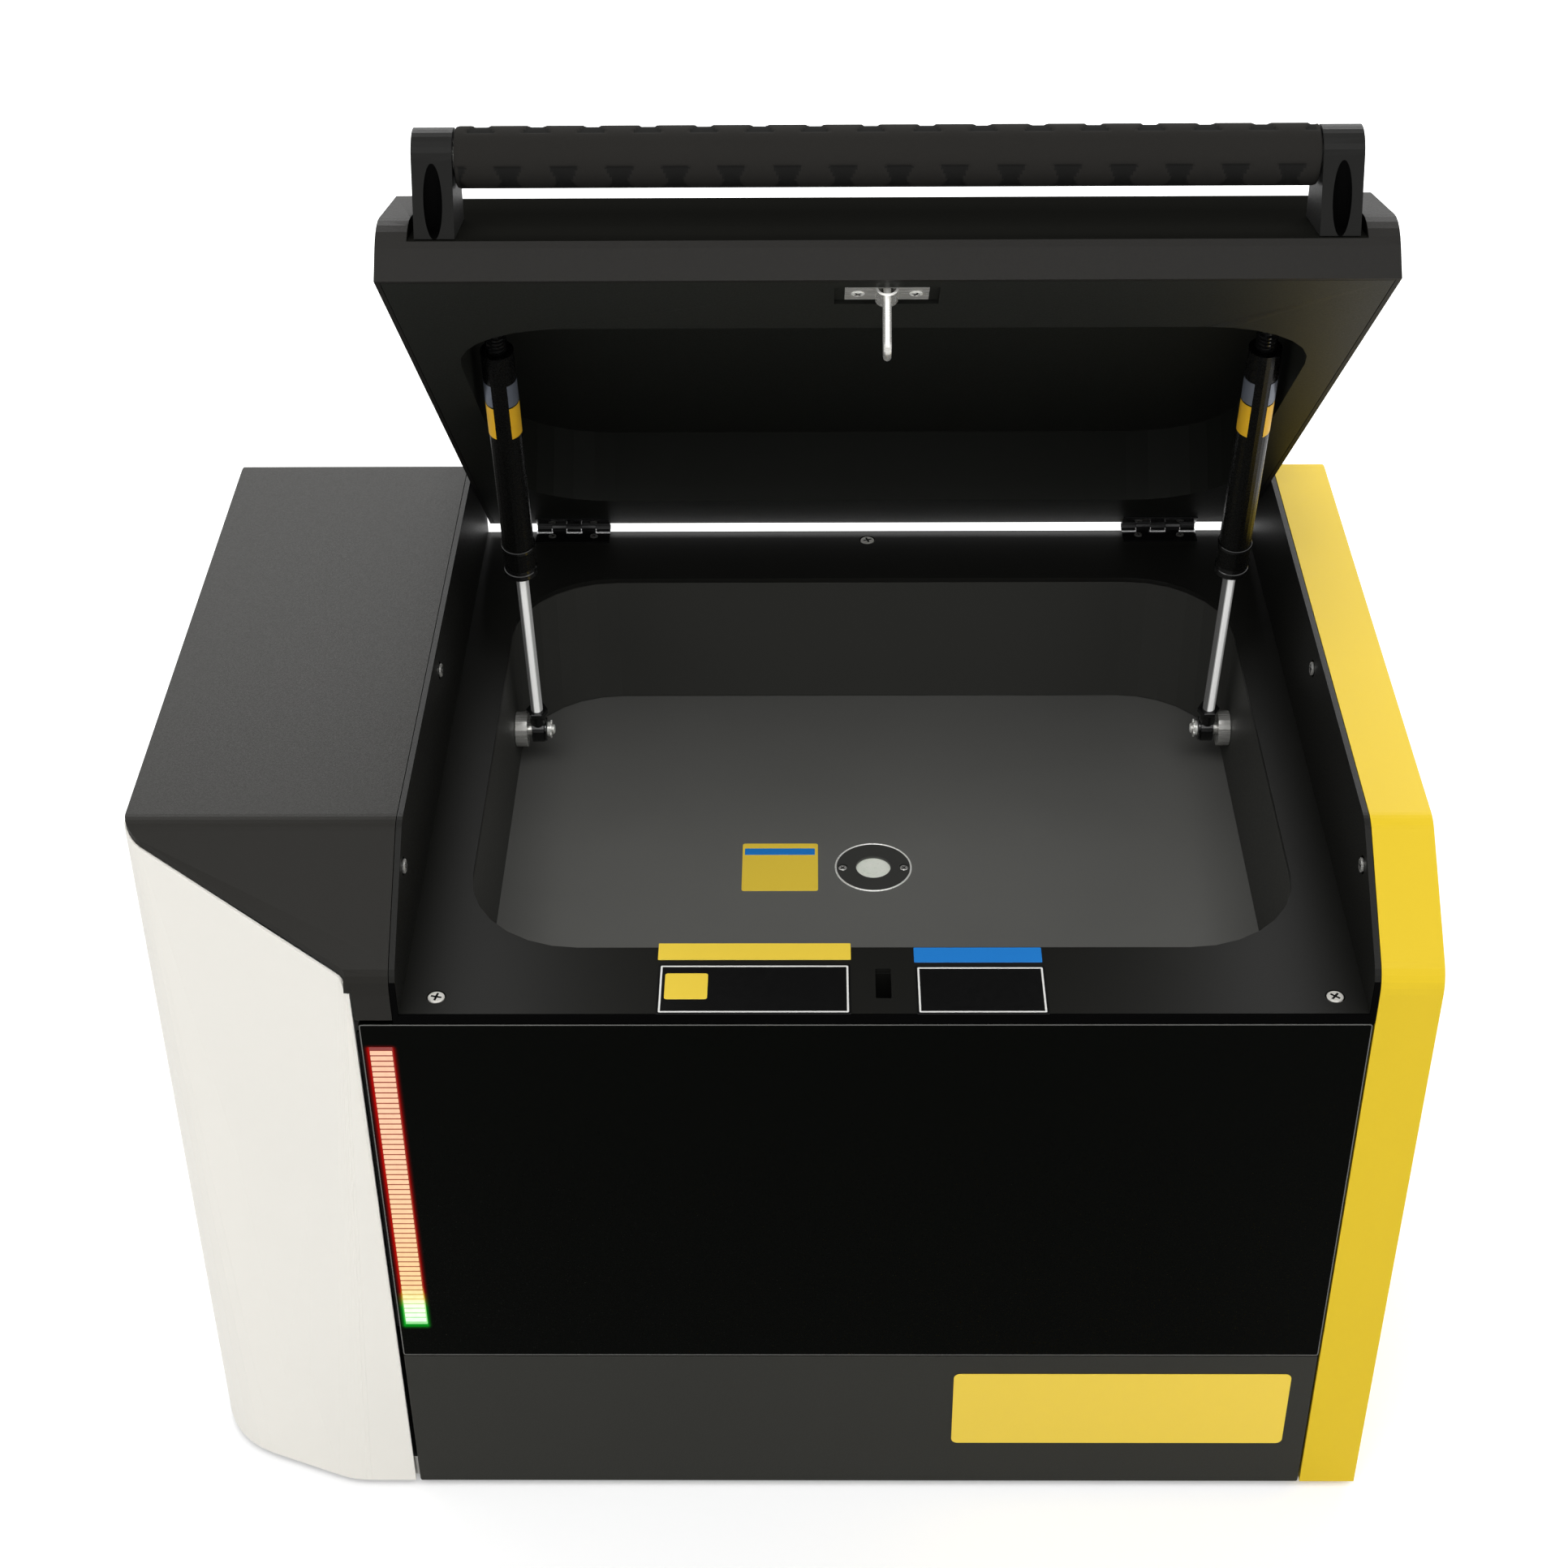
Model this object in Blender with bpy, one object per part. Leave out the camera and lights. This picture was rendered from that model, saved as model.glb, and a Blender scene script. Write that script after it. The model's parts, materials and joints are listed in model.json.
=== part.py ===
# Bench-top x-ray fluorescence analyzer with an open sample lid
# Metres, X to the right, Y to the back, Z up
# The origin is the centre of the underside of the base pan
import math

import bmesh
import bpy
from mathutils import Matrix, Vector

# Driving sizes of the housing
body_width = 0.5515
body_depth = 0.390
body_height = 0.3578
front_drop = 0.0395
front_chamfer_run = 0.0575
rear_drop = 0.0278
rear_chamfer_run = 0.034
bend_radius = 0.015
sheet = 0.0025
clearance = 0.0003
overrun = 0.004

# Left tower, right cover and the bay between them
left_tower_width = 0.1157
right_cover_width = 0.0261
seat_drop = 0.0586
seat_lip_height = 0.0045
white_wall = 0.0015
seam_gap = 0.0007
white_cover_front_x = 0.0992
white_slant_start = 0.0297
white_slant_depth = 0.0271
white_corner_radius = 0.043
white_top_step_x = 0.0035
white_top_step_y = 0.0037
white_top_slant_depth = 0.0535
white_top_corner_radius = 0.015
white_top_step_radius = 0.012
white_rear_radius = 0.012
white_rear_return = 0.020
white_rear_gap = 0.0012

# Sample chamber
chamber_left_margin = 0.0217
chamber_right_margin = 0.0195
chamber_front = 0.044
chamber_back_margin = 0.050
chamber_corner = 0.050
chamber_depth = 0.0742
tub_wall = 0.002
tub_flange = 0.006
floor_thickness = 0.003
window_offset_x = 0.0005
window_place_share = 0.502
window_ring_radius = 0.0185
window_ring_thickness = 0.0012
window_hole_radius = 0.0085
film_radius = 0.0105
film_thickness = 0.0003
window_screw_pitch = 0.015
small_screw_radius = 0.0022
small_screw_shank = 0.0011
small_hole_play = 0.0004

# Front face
glass_thickness = 0.004
glass_bottom = 0.0897
glass_drop = 0.0048
glass_left_gap = 0.0020
glass_right_gap = 0.0008
lower_panel_top = 0.0890
light_left = 0.0030
light_width = 0.0099
light_bottom = 0.0200
light_top_gap = 0.0133
light_depth = 0.003
light_board_thickness = 0.0016
display_side_margin = 0.05205
display_margin = 0.0547
display_depth = 0.012

# Screws of the bay
screw_head_radius = 0.00375
screw_length = 0.008
seat_screw_left = 0.0145
seat_screw_right = 0.0126
seat_screw_front = 0.012
rear_screw_from_back = 0.012
wall_screw_back_y = 0.190
wall_screw_back_drop = 0.0138
wall_screw_front_y = 0.049
wall_screw_front_drop = 0.0178

# Lid
lid_open_degrees = 45.3
lid_side_gap = 0.0014
lid_front_gap = 0.0046
lid_front_rise = 0.0043
lid_bend_radius = 0.019
lid_back_gap = 0.0028
lid_seat_gap = 0.0025
lid_wall = 0.002
lid_recess_front = 0.063
lid_recess_back_margin = 0.049
lid_recess_depth = 0.0365
lid_pocket_end_gap = 0.0126
lid_pocket_depth = 0.0027
lid_pan_thickness = 0.002

# Hinges
hinge_length = 0.039
hinge_left_from_bay = 0.0265
hinge_right_from_bay = 0.0280
hinge_leaf_depth = 0.0125
hinge_leaf_thickness = 0.0007
hinge_knuckle_radius = 0.0024
hinge_bore_radius = 0.0015
hinge_pin_radius = 0.0011
hinge_axis_gap = 0.0002
hinge_knuckle_gap = 0.0003
hinge_tab_inset = 0.0001
hinge_screw_inset = 0.0085
hinge_knuckle_count = 5

# Handle
bracket_width = 0.016
handle_end_gap = 0.0153
bracket_radius = 0.0115
bracket_front = 0.0015
bracket_base_depth = 0.033
handle_rise = 0.0287
grip_radius = 0.0120
grip_bore_radius = 0.0075
core_radius = 0.0071
grip_end_gap = 0.0006
grip_edge = 0.002
screw_well_radius = 0.0036
screw_well_degrees = 5.0
screw_well_setback = 0.0051
screw_well_floor = 0.0011
screw_well_reach = 0.046

# Latch
latch_from_bay = 0.0005
latch_from_front = 0.0205
latch_slot_width = 0.0066
latch_slot_length = 0.019
loop_wire_radius = 0.00165
loop_width = 0.0137
loop_length = 0.027
striker_plate_width = 0.0334
striker_plate_depth = 0.0140
striker_plate_thickness = 0.0015
striker_screw_pitch = 0.0115
striker_boss_width = 0.040
striker_boss_depth = 0.0215
striker_boss_height = 0.0105
striker_pocket_margin = 0.0042
striker_pocket_behind = 0.0055
lock_wall = 0.003
lock_depth = 0.028
lock_bolt_radius = 0.003
lock_bolt_bore = 0.0034
lock_bolt_length = 0.024
lock_bolt_drop = 0.0150
lock_bolt_back = 0.0035
solenoid_gap = 0.0009
solenoid_length = 0.030
solenoid_height = 0.022

# Gas struts
strut_inset = 0.0117
strut_low_share = 0.7051
strut_low_drop = 0.0492
strut_high_share = 0.3269
strut_high_rise = 0.0278
strut_tube_radius = 0.0075
strut_tube_bore = 0.0060
strut_collar_radius = 0.0078
strut_collar_length = 0.0125
strut_nose_radius = 0.0046
strut_nose_length = 0.0065
strut_rod_radius = 0.003
strut_rod_play = 0.0004
strut_rod_overlap = 0.030
strut_tube_full = 0.1507
strut_tube_end_gap = 0.0162
strut_tube_cap = 0.0020
strut_eye_radius = 0.0065
strut_eye_bore = 0.0034
strut_eye_width = 0.006
strut_neck_radius = 0.004
strut_neck_end = 0.0125
stud_disc_radius = 0.009
stud_disc_width = 0.006
stud_pin_radius = 0.003
stud_pin_past_eye = 0.0045
washer_thickness = 0.0014
lid_pad_radius = 0.008
lid_pad_width = 0.0044

# Rear side
inlet_width = 0.048
inlet_height = 0.028
inlet_depth = 0.022
inlet_lip = 0.0025
inlet_lip_margin = 0.003
inlet_socket_width = 0.0245
inlet_socket_height = 0.0170
inlet_socket_depth = 0.016
inlet_blade_width = 0.002
inlet_blade_height = 0.004
inlet_blade_length = 0.013
inlet_blade_pitch = 0.007
inlet_blade_rise = 0.002
inlet_from_left = 0.066
inlet_centre_height = 0.070
rocker_width = 0.014
rocker_length = 0.021
rocker_frame_width = 0.0035
rocker_frame_depth = 0.012
rocker_gap_below_inlet = 0.018
rocker_gap = 0.0010
rocker_rise = 0.0030
rocker_taper = 0.0018
rocker_pin_radius = 0.0015
rocker_lean_degrees = 9.0
fan_size = 0.080
fan_depth = 0.025
fan_bore_radius = 0.0375
fan_hub_radius = 0.017
fan_hub_depth = 0.016
fan_blade_radius = 0.0360
fan_blade_thickness = 0.0012
fan_blade_degrees = 35.0
fan_blade_count = 7
fan_spoke_width = 0.005
fan_spoke_depth = 0.003
fan_spoke_count = 3
fan_shaft_radius = 0.002
fan_shaft_play = 0.0004
fan_rotor_gap = 0.0008
fan_from_right = 0.090
fan_centre_height = 0.140
guard_wire = 0.0016
guard_pitch = 0.0085
guard_ring_count = 4
guard_bar_count = 4
guard_turn_degrees = 45.0

# Base
base_inset = 0.003
base_wall = 0.0015
base_flange = 0.014
base_step = 0.001
base_pad_margin = 0.070
foot_radius = 0.011
foot_height = 0.005
foot_inset_x = 0.040
foot_inset_front = 0.070
foot_inset_back = 0.035

# Optics under the chamber floor
optics_half_width = 0.034
optics_shoulder = 0.0165
optics_toe = 0.004
optics_depth = 0.060
beam_bore_radius = 0.004
source_radius = 0.020
source_length = 0.105
source_neck_radius = 0.016
source_neck_length = 0.012
wheel_radius = 0.036
wheel_offset = 0.030
wheel_thickness = 0.003
wheel_gap = 0.0012
wheel_hole_radius = 0.006
wheel_hole_count = 6
wheel_bore_radius = 0.0019
motor_radius = 0.0085
motor_length = 0.026
motor_shaft_radius = 0.0015
clamp_thickness = 0.012
clamp_start = 0.014
clamp_half = 0.0283
clamp_motor_reach = 0.042
clamp_play = 0.0003
detector_radius = 0.015
detector_length = 0.085
detector_nose_radius = 0.008
detector_nose_length = 0.010
stand_depth = 0.034
stand_wall = 0.006
stand_foot_height = 0.040
stand_top_half = 0.010

# Electronics
supply_width = 0.082
supply_depth = 0.200
supply_height = 0.150
supply_from_left = 0.014
supply_from_back = 0.060
high_voltage_width = 0.120
high_voltage_depth = 0.090
high_voltage_height = 0.080
high_voltage_from_front = 0.030
high_voltage_from_left = 0.130
board_width = 0.190
board_depth = 0.100
board_thickness = 0.0016
board_from_left = 0.128
board_from_back = 0.022
board_tray_thickness = 0.0015
standoff_height = 0.010
standoff_radius = 0.003
standoff_inset = 0.006

# Face counts
bend_steps = 5
corner_steps = 7
round_sides = 24
small_sides = 12
disc_sides = 32
post_sides = 6
sharp_degrees = 32.0

# Places worked out from the sizes
left = -body_width / 2
right = body_width / 2
front = -body_depth / 2
back = body_depth / 2
tower_right = left + left_tower_width
liner_left = tower_right + clearance
bay_left = liner_left + sheet
cover_left = right - right_cover_width
front_height = body_height - front_drop
rear_height = body_height - rear_drop
seat_height = body_height - seat_drop
glass_top = seat_height - glass_drop
light_length = glass_top - glass_bottom - light_bottom - light_top_gap
display_tall = glass_top - glass_bottom - display_margin
chamber_back = body_depth - chamber_back_margin
liner_right = cover_left - clearance
bay_right = liner_right - sheet
bay_centre = (bay_left + bay_right) / 2
seat_bottom = seat_height - sheet
leg_bottom = seat_bottom
chamber_left = bay_left + chamber_left_margin
chamber_right = bay_right - chamber_right_margin
chamber_floor_top = seat_height - chamber_depth
floor_bottom = chamber_floor_top - floor_thickness
tub_top = seat_bottom - clearance
window_x = bay_centre + window_offset_x
window_y = front + chamber_front + (chamber_back - chamber_front) * window_place_share
panel_inner = back - sheet
lid_left = bay_left + lid_side_gap
lid_right = bay_right - lid_side_gap
handle_width = lid_right - lid_left - 2 * handle_end_gap
lid_pocket_width = lid_right - lid_left - 2 * lid_pocket_end_gap
display_width = bay_right - bay_left - 2 * display_side_margin
lid_front = front + lid_front_gap
lid_back = back - lid_back_gap
lid_bottom = seat_height + lid_seat_gap
hinge_y = lid_back + clearance + hinge_knuckle_radius
hinge_z = seat_height + clearance + hinge_leaf_thickness + hinge_axis_gap
hinge_z += clearance / 2
chamfer_angle = math.atan2(body_height - front_height, front_chamfer_run)
lid_corner_z = front_height + lid_front_rise + lid_front_gap * math.tan(chamfer_angle)
pocket_drop = lid_pocket_depth / math.cos(chamfer_angle)
pocket_edge = Vector((0, lid_front, lid_corner_z - lid_front_rise - pocket_drop))
along_chamfer = Vector((0, math.cos(chamfer_angle), math.sin(chamfer_angle)))
off_chamfer = Vector((0, -math.sin(chamfer_angle), math.cos(chamfer_angle)))
handle_setback = bracket_front + bracket_base_depth / 2
latch_x = bay_centre + latch_from_bay
latch_y = front + latch_from_front
strut_left_x = chamber_left + strut_inset
strut_right_x = chamber_right - strut_inset
strut_low = Vector((0, front + body_depth * strut_low_share, seat_height - strut_low_drop))
strut_high_closed = Vector((0, front + body_depth * strut_high_share,
                            seat_height + strut_high_rise))
hinge_point = Vector((0, hinge_y, hinge_z))
opening = Matrix.Rotation(-math.radians(lid_open_degrees), 4, "X")
strut_high = hinge_point + opening @ (strut_high_closed - hinge_point)
strut_length = (strut_high - strut_low).length
strut_tube_start = strut_length - strut_tube_full
strut_tube_end = strut_length - strut_tube_end_gap
strut_rod_tip = strut_tube_start + strut_rod_overlap
inlet_x = left + inlet_from_left
inlet_z = inlet_centre_height
rocker_z = inlet_z - inlet_height / 2 - rocker_gap_below_inlet
fan_x = right - fan_from_right
fan_z = fan_centre_height
beam_point = Vector((window_x, window_y, floor_bottom - clearance - optics_shoulder))
face_length = optics_half_width - optics_toe


# Scene and materials
def clear_scene():
    for item in list(bpy.data.objects):
        bpy.data.objects.remove(item, do_unlink=True)


def make_material(name, colour, roughness, metallic=0.0):
    made = bpy.data.materials.new(name)
    made.use_nodes = True
    shader = made.node_tree.nodes["Principled BSDF"]
    shader.inputs["Base Color"].default_value = (*colour, 1.0)
    shader.inputs["Roughness"].default_value = roughness
    shader.inputs["Metallic"].default_value = metallic
    made.diffuse_color = (*colour, 1.0)
    return made


# Outlines
def rectangle(low_a, high_a, low_b, high_b):
    return [(low_a, low_b), (high_a, low_b), (high_a, high_b), (low_a, high_b)]


def line_crossing(point, direction, other_point, other_direction):
    cross = direction.x * other_direction.y - direction.y * other_direction.x
    gap = other_point - point
    step = (gap.x * other_direction.y - gap.y * other_direction.x) / cross
    return point + direction * step


def inward(first, second, distance):
    run = (second - first).normalized()
    return Vector((run.y, -run.x)) * distance, run


def offset_end(end, first, second, distance):
    shift, run = inward(first, second, distance)
    return line_crossing(end + shift, run, end, Vector((0, 1)))


def offset_path(corners, distance):
    points = [Vector(corner) for corner in corners]
    moved = [offset_end(points[0], points[0], points[1], distance)]
    for before, here, after in zip(points, points[1:], points[2:]):
        first_shift, first_run = inward(before, here, distance)
        second_shift, second_run = inward(here, after, distance)
        moved.append(line_crossing(here + first_shift, first_run, here + second_shift, second_run))
    moved.append(offset_end(points[-1], points[-2], points[-1], distance))
    return moved


def inset_outline(corners, distances):
    points = [Vector(corner) for corner in corners]
    count = len(points)
    moved = []
    for place in range(count):
        here = points[place]
        first_shift, first_run = inward(points[place - 1], here, distances[place - 1])
        second_shift, second_run = inward(here, points[(place + 1) % count], distances[place])
        moved.append(line_crossing(here + first_shift, first_run, here + second_shift, second_run))
    return moved


def round_corners(corners, radii, steps):
    points = [Vector(corner) for corner in corners]
    count = len(points)
    rounded = []
    for place, (here, radius) in enumerate(zip(points, radii)):
        if radius <= 0:
            rounded.append((here.x, here.y))
            continue
        to_before = (points[place - 1] - here).normalized()
        to_after = (points[(place + 1) % count] - here).normalized()
        half = to_before.angle(to_after) / 2
        centre = here + (to_before + to_after).normalized() * (radius / math.sin(half))
        start = here + to_before * (radius / math.tan(half)) - centre
        stop = here + to_after * (radius / math.tan(half)) - centre
        sweep = math.atan2(start.x * stop.y - start.y * stop.x, start.dot(stop))
        begin = math.atan2(start.y, start.x)
        for step in range(steps + 1):
            angle = begin + sweep * step / steps
            rounded.append((centre.x + radius * math.cos(angle), centre.y + radius * math.sin(angle)))
    return rounded


def rounded_rectangle(low_a, high_a, low_b, high_b, radius, steps=corner_steps):
    return round_corners(rectangle(low_a, high_a, low_b, high_b), [radius] * 4, steps)


def circle_outline(centre_a, centre_b, radius, sides):
    turns = [math.tau * step / sides for step in range(sides)]
    return [(centre_a + radius * math.cos(turn), centre_b + radius * math.sin(turn)) for turn in turns]


# Side outline of the housing, from the front foot over the top to the rear foot
def housing_corners():
    return [
        (front, 0),
        (front, front_height),
        (front + front_chamfer_run, body_height),
        (back - rear_chamfer_run, body_height),
        (back, rear_height),
        (back, 0),
    ]


def housing_outline(depth, bottom_depth):
    corners = inset_outline(housing_corners(), [depth] * 5 + [bottom_depth])
    bend = bend_radius - depth
    return round_corners(corners, [0, bend, bend, bend, bend, 0], bend_steps)


def height_at(place_y, depth):
    outline = housing_outline(depth, 0)[1:-1]
    if place_y <= outline[0][0]:
        return outline[0][1]
    for (first_y, first_z), (next_y, next_z) in zip(outline, outline[1:]):
        if first_y < place_y <= next_y:
            return first_z + (next_z - first_z) * (place_y - first_y) / (next_y - first_y)
    return outline[-1][1]


# Solids
def add_object(name, mesh_data, material):
    mesh_data.normal_update()
    bmesh.ops.recalc_face_normals(mesh_data, faces=mesh_data.faces)
    corners = [vertex.co for vertex in mesh_data.verts]
    low = Vector([min(corner[axis] for corner in corners) for axis in range(3)])
    high = Vector([max(corner[axis] for corner in corners) for axis in range(3)])
    centre = (low + high) / 2
    bmesh.ops.translate(mesh_data, verts=mesh_data.verts, vec=-centre)
    mesh = bpy.data.meshes.new(name)
    mesh_data.to_mesh(mesh)
    mesh_data.free()
    mesh.shade_smooth()
    mesh.set_sharp_from_angle(angle=math.radians(sharp_degrees))
    made = bpy.data.objects.new(name, mesh)
    made.location = centre
    bpy.context.scene.collection.objects.link(made)
    if material is not None:
        mesh.materials.append(material)
    return made


def placed(axis, along, across):
    if axis == "X":
        return (along, across[0], across[1])
    if axis == "Y":
        return (across[0], along, across[1])
    return (across[0], across[1], along)


def add_prism(mesh_data, outline, axis, low, high):
    rings = []
    for along in (low, high):
        rings.append([mesh_data.verts.new(placed(axis, along, across)) for across in outline])
    mesh_data.faces.new(rings[0])
    mesh_data.faces.new(list(reversed(rings[1])))
    count = len(outline)
    for place in range(count):
        after = (place + 1) % count
        mesh_data.faces.new([rings[0][place], rings[1][place], rings[1][after], rings[0][after]])


def prism(name, outline, axis, low, high, material=None):
    mesh_data = bmesh.new()
    add_prism(mesh_data, outline, axis, low, high)
    return add_object(name, mesh_data, material)


def block(name, low, high, material=None):
    outline = rectangle(low[0], high[0], low[1], high[1])
    return prism(name, outline, "Z", low[2], high[2], material)


def frame_along(direction):
    upward = Vector(direction).normalized()
    return upward.to_track_quat("Z", "Y").to_matrix()


# A turned solid: rows of radius and distance along the axis, closed at zero radius or as a ring
def add_turned(mesh_data, rows, start, direction, sides, ring=False):
    turn = frame_along(direction)
    start = Vector(start)
    loops = []
    for radius, along in rows:
        if radius <= 0:
            loops.append([mesh_data.verts.new(start + turn @ Vector((0, 0, along)))])
            continue
        loop = []
        for step in range(sides):
            angle = math.tau * step / sides
            spot = Vector((radius * math.cos(angle), radius * math.sin(angle), along))
            loop.append(mesh_data.verts.new(start + turn @ spot))
        loops.append(loop)
    pairs = list(zip(loops, loops[1:]))
    if ring:
        pairs.append((loops[-1], loops[0]))
    for first, second in pairs:
        for step in range(sides):
            after = (step + 1) % sides
            corners = [first[step % len(first)], first[after % len(first)]]
            corners += [second[after % len(second)], second[step % len(second)]]
            kept = list(dict.fromkeys(corners))
            if len(kept) > 2:
                mesh_data.faces.new(kept)


def turned(name, rows, start, direction, sides, material=None, ring=False):
    mesh_data = bmesh.new()
    add_turned(mesh_data, rows, start, direction, sides, ring)
    return add_object(name, mesh_data, material)


def rod_rows(radius, length):
    return [(0, 0), (radius, 0), (radius, length), (0, length)]


def rod(name, radius, start, direction, length, sides=round_sides, material=None):
    return turned(name, rod_rows(radius, length), start, direction, sides, material)


def tube_rows(outer, inner, length):
    return [(outer, 0), (outer, length), (inner, length), (inner, 0)]


def tube(name, outer, inner, start, direction, length, sides=round_sides, material=None):
    return turned(name, tube_rows(outer, inner, length), start, direction, sides, material, ring=True)


# A screw with a flat head and a shank, its head's outer face at the start
def combine(target, other, operation):
    other.hide_render = True
    other.display_type = "WIRE"
    other.name = "guide_" + target.name
    change = target.modifiers.new(operation.lower(), "BOOLEAN")
    change.operation = operation
    change.solver = "EXACT"
    change.object = other
    return target


def cut(target, other):
    return combine(target, other, "DIFFERENCE")


def weld(target, other):
    return combine(target, other, "UNION")


def guides_of(item):
    return [change.object for change in item.modifiers if change.type == "BOOLEAN"]


# A piece and its cutters hang on the empty that stands on the joint's axis
def hang(item, pivot, rest):
    for member in [item] + guides_of(item):
        member.parent = pivot
        member.matrix_parent_inverse = rest.inverted()


def make_pivot(name, place, turn_degrees):
    pivot = bpy.data.objects.new(name, None)
    pivot.location = place
    pivot.rotation_euler = (math.radians(turn_degrees), 0, 0)
    bpy.context.scene.collection.objects.link(pivot)
    return pivot


# White cover round the left tower, ruled between its foot line and its top line
def cover_path_low(distance):
    cover_x = left + white_cover_front_x
    corners = [
        (cover_x, front),
        (cover_x - white_slant_start, front),
        (left, front + white_slant_depth),
        (left, back),
        (left + white_rear_return, back),
    ]
    radii = [0, white_corner_radius, white_corner_radius, white_rear_radius, 0]
    return offset_path(corners, distance), [max(radius - distance, 0) for radius in radii]


def cover_path_high(distance):
    cover_x = left + white_cover_front_x
    corners = [
        (cover_x, front),
        (cover_x - white_top_step_x, front + white_top_step_y),
        (left, front + white_top_slant_depth),
        (left, back),
        (left + white_rear_return, back),
    ]
    radii = [0, white_top_step_radius, white_top_corner_radius, white_rear_radius, 0]
    return offset_path(corners, distance), [max(radius - distance, 0) for radius in radii]


def cover_stations(distance):
    low = round_corners(*cover_path_low(distance), corner_steps)
    high = round_corners(*cover_path_high(distance), corner_steps)
    side_start = 1 + 2 * (corner_steps + 1)
    side_low_y = max(low[side_start - 1][1], high[side_start - 1][1])
    side_high_y = low[side_start][1]
    bends = housing_outline(sheet + clearance, 0)
    middle = [place_y for place_y, _ in bends if side_low_y < place_y < side_high_y]
    side = [(left + distance, place_y) for place_y in middle]
    low = low[:side_start] + side + low[side_start:]
    high = high[:side_start] + side + high[side_start:]
    return low, high


def cover_heights():
    return [height_at(place_y, sheet + clearance) for _, place_y in cover_stations(0)[1]]


def make_left_side_cover(material):
    mesh_data = bmesh.new()
    loops = []
    heights = cover_heights()
    for distance in (0, white_wall):
        low, high = cover_stations(distance)
        loops.append([mesh_data.verts.new((place_x, place_y, 0)) for place_x, place_y in low])
        top = [(spot[0], spot[1], height) for spot, height in zip(high, heights)]
        loops.append([mesh_data.verts.new(spot) for spot in top])
    outer_low, outer_high, inner_low, inner_high = loops
    last = len(outer_low) - 1
    for first, second in ((outer_low, outer_high), (outer_high, inner_high),
                          (inner_high, inner_low), (inner_low, outer_low)):
        for place in range(last):
            mesh_data.faces.new([first[place], first[place + 1], second[place + 1], second[place]])
    for place in (0, last):
        mesh_data.faces.new([outer_low[place], outer_high[place], inner_high[place], inner_low[place]])
    return add_object("left_side_cover", mesh_data, material)


# The space inside the white cover, carried on upward past the top
def tower_core_ring(spots, height):
    rear = back - sheet - white_rear_gap
    turn_x = left + white_rear_return + seam_gap
    start_x = max(spots[0][0], left + white_cover_front_x + seam_gap)
    ring = [(start_x, spots[0][1])]
    ring += [(place_x, min(place_y, rear)) for place_x, place_y in spots[1:-1]]
    far = tower_right + overrun
    ring += [(turn_x, rear), (turn_x, back + overrun), (far, back + overrun)]
    ring += [(far, front - overrun), (start_x, front - overrun)]
    return [(place_x, place_y, height) for place_x, place_y in ring]


def tower_core(distance):
    low, high = cover_stations(distance)
    heights = cover_heights()
    top = body_height + overrun
    high_spots = []
    for base, spot, height in zip(low, high, heights):
        share = top / height
        high_spots.append((base[0] + (spot[0] - base[0]) * share, base[1] + (spot[1] - base[1]) * share))
    mesh_data = bmesh.new()
    rings = []
    for ring in (tower_core_ring(low, 0), tower_core_ring(high_spots, top)):
        rings.append([mesh_data.verts.new(spot) for spot in ring])
    mesh_data.faces.new(rings[0])
    mesh_data.faces.new(list(reversed(rings[1])))
    count = len(rings[0])
    for place in range(count):
        after = (place + 1) % count
        mesh_data.faces.new([rings[0][place], rings[1][place], rings[1][after], rings[0][after]])
    return add_object("tower_core", mesh_data, None)


def make_left_top_cover(material):
    cover = prism("left_top_cover", housing_outline(0, -overrun), "X", left, tower_right, material)
    inside = housing_outline(sheet, -2 * overrun)
    cut(cover, prism("inside", inside, "X", left - overrun, tower_right + overrun))
    cut(cover, block("below", (left - overrun, front - overrun, -2 * overrun),
                     (tower_right + overrun, back + overrun, leg_bottom)))
    lip = height_at(front, sheet + clearance) + clearance
    cut(cover, block("beside_lip", (left - overrun, front - overrun, leg_bottom - overrun),
                     (left + white_cover_front_x + seam_gap, front + sheet + overrun, lip)))
    core = tower_core(seam_gap)
    return combine(cover, core, "INTERSECT")


def make_right_side_cover(material):
    cover = prism("right_side_cover", housing_outline(0, 0), "X", cover_left, right, material)
    return cut(cover, prism("inside", housing_outline(sheet, sheet), "X",
                            cover_left - overrun, right - sheet))


def base_outline(distance):
    corners, radii = cover_path_low(distance)
    corners = corners[:-1]
    radii = radii[:-1]
    corners[0] = Vector((liner_right - distance + base_inset, front + distance))
    corners[-1] = Vector((left + distance, back - distance))
    corners.append(Vector((liner_right - distance + base_inset, back - distance)))
    radii.append(0)
    return round_corners(corners, radii, corner_steps)


def make_base_pan(material):
    pan = prism("base_pan", base_outline(base_inset), "Z", base_step, base_flange, material)
    half_x = right - base_pad_margin
    half_y = back - base_pad_margin
    weld(pan, block("pad", (-half_x, -half_y, 0), (half_x, half_y, base_step * 2)))
    return cut(pan, prism("inside", base_outline(base_inset + base_wall), "Z",
                          sheet, base_flange + overrun))


def foot_places():
    low_x = left + foot_inset_x
    high_x = right - foot_inset_x
    low_y = front + foot_inset_front
    high_y = back - foot_inset_back
    return {
        "rubber_foot_front_left": (low_x, low_y),
        "rubber_foot_front_right": (high_x, low_y),
        "rubber_foot_rear_left": (low_x, high_y),
        "rubber_foot_rear_right": (high_x, high_y),
    }


def make_rubber_feet(material):
    for name, (place_x, place_y) in foot_places().items():
        rod(name, foot_radius, (place_x, place_y, -foot_height), (0, 0, 1),
            foot_height + base_step - clearance, round_sides, material)


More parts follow.
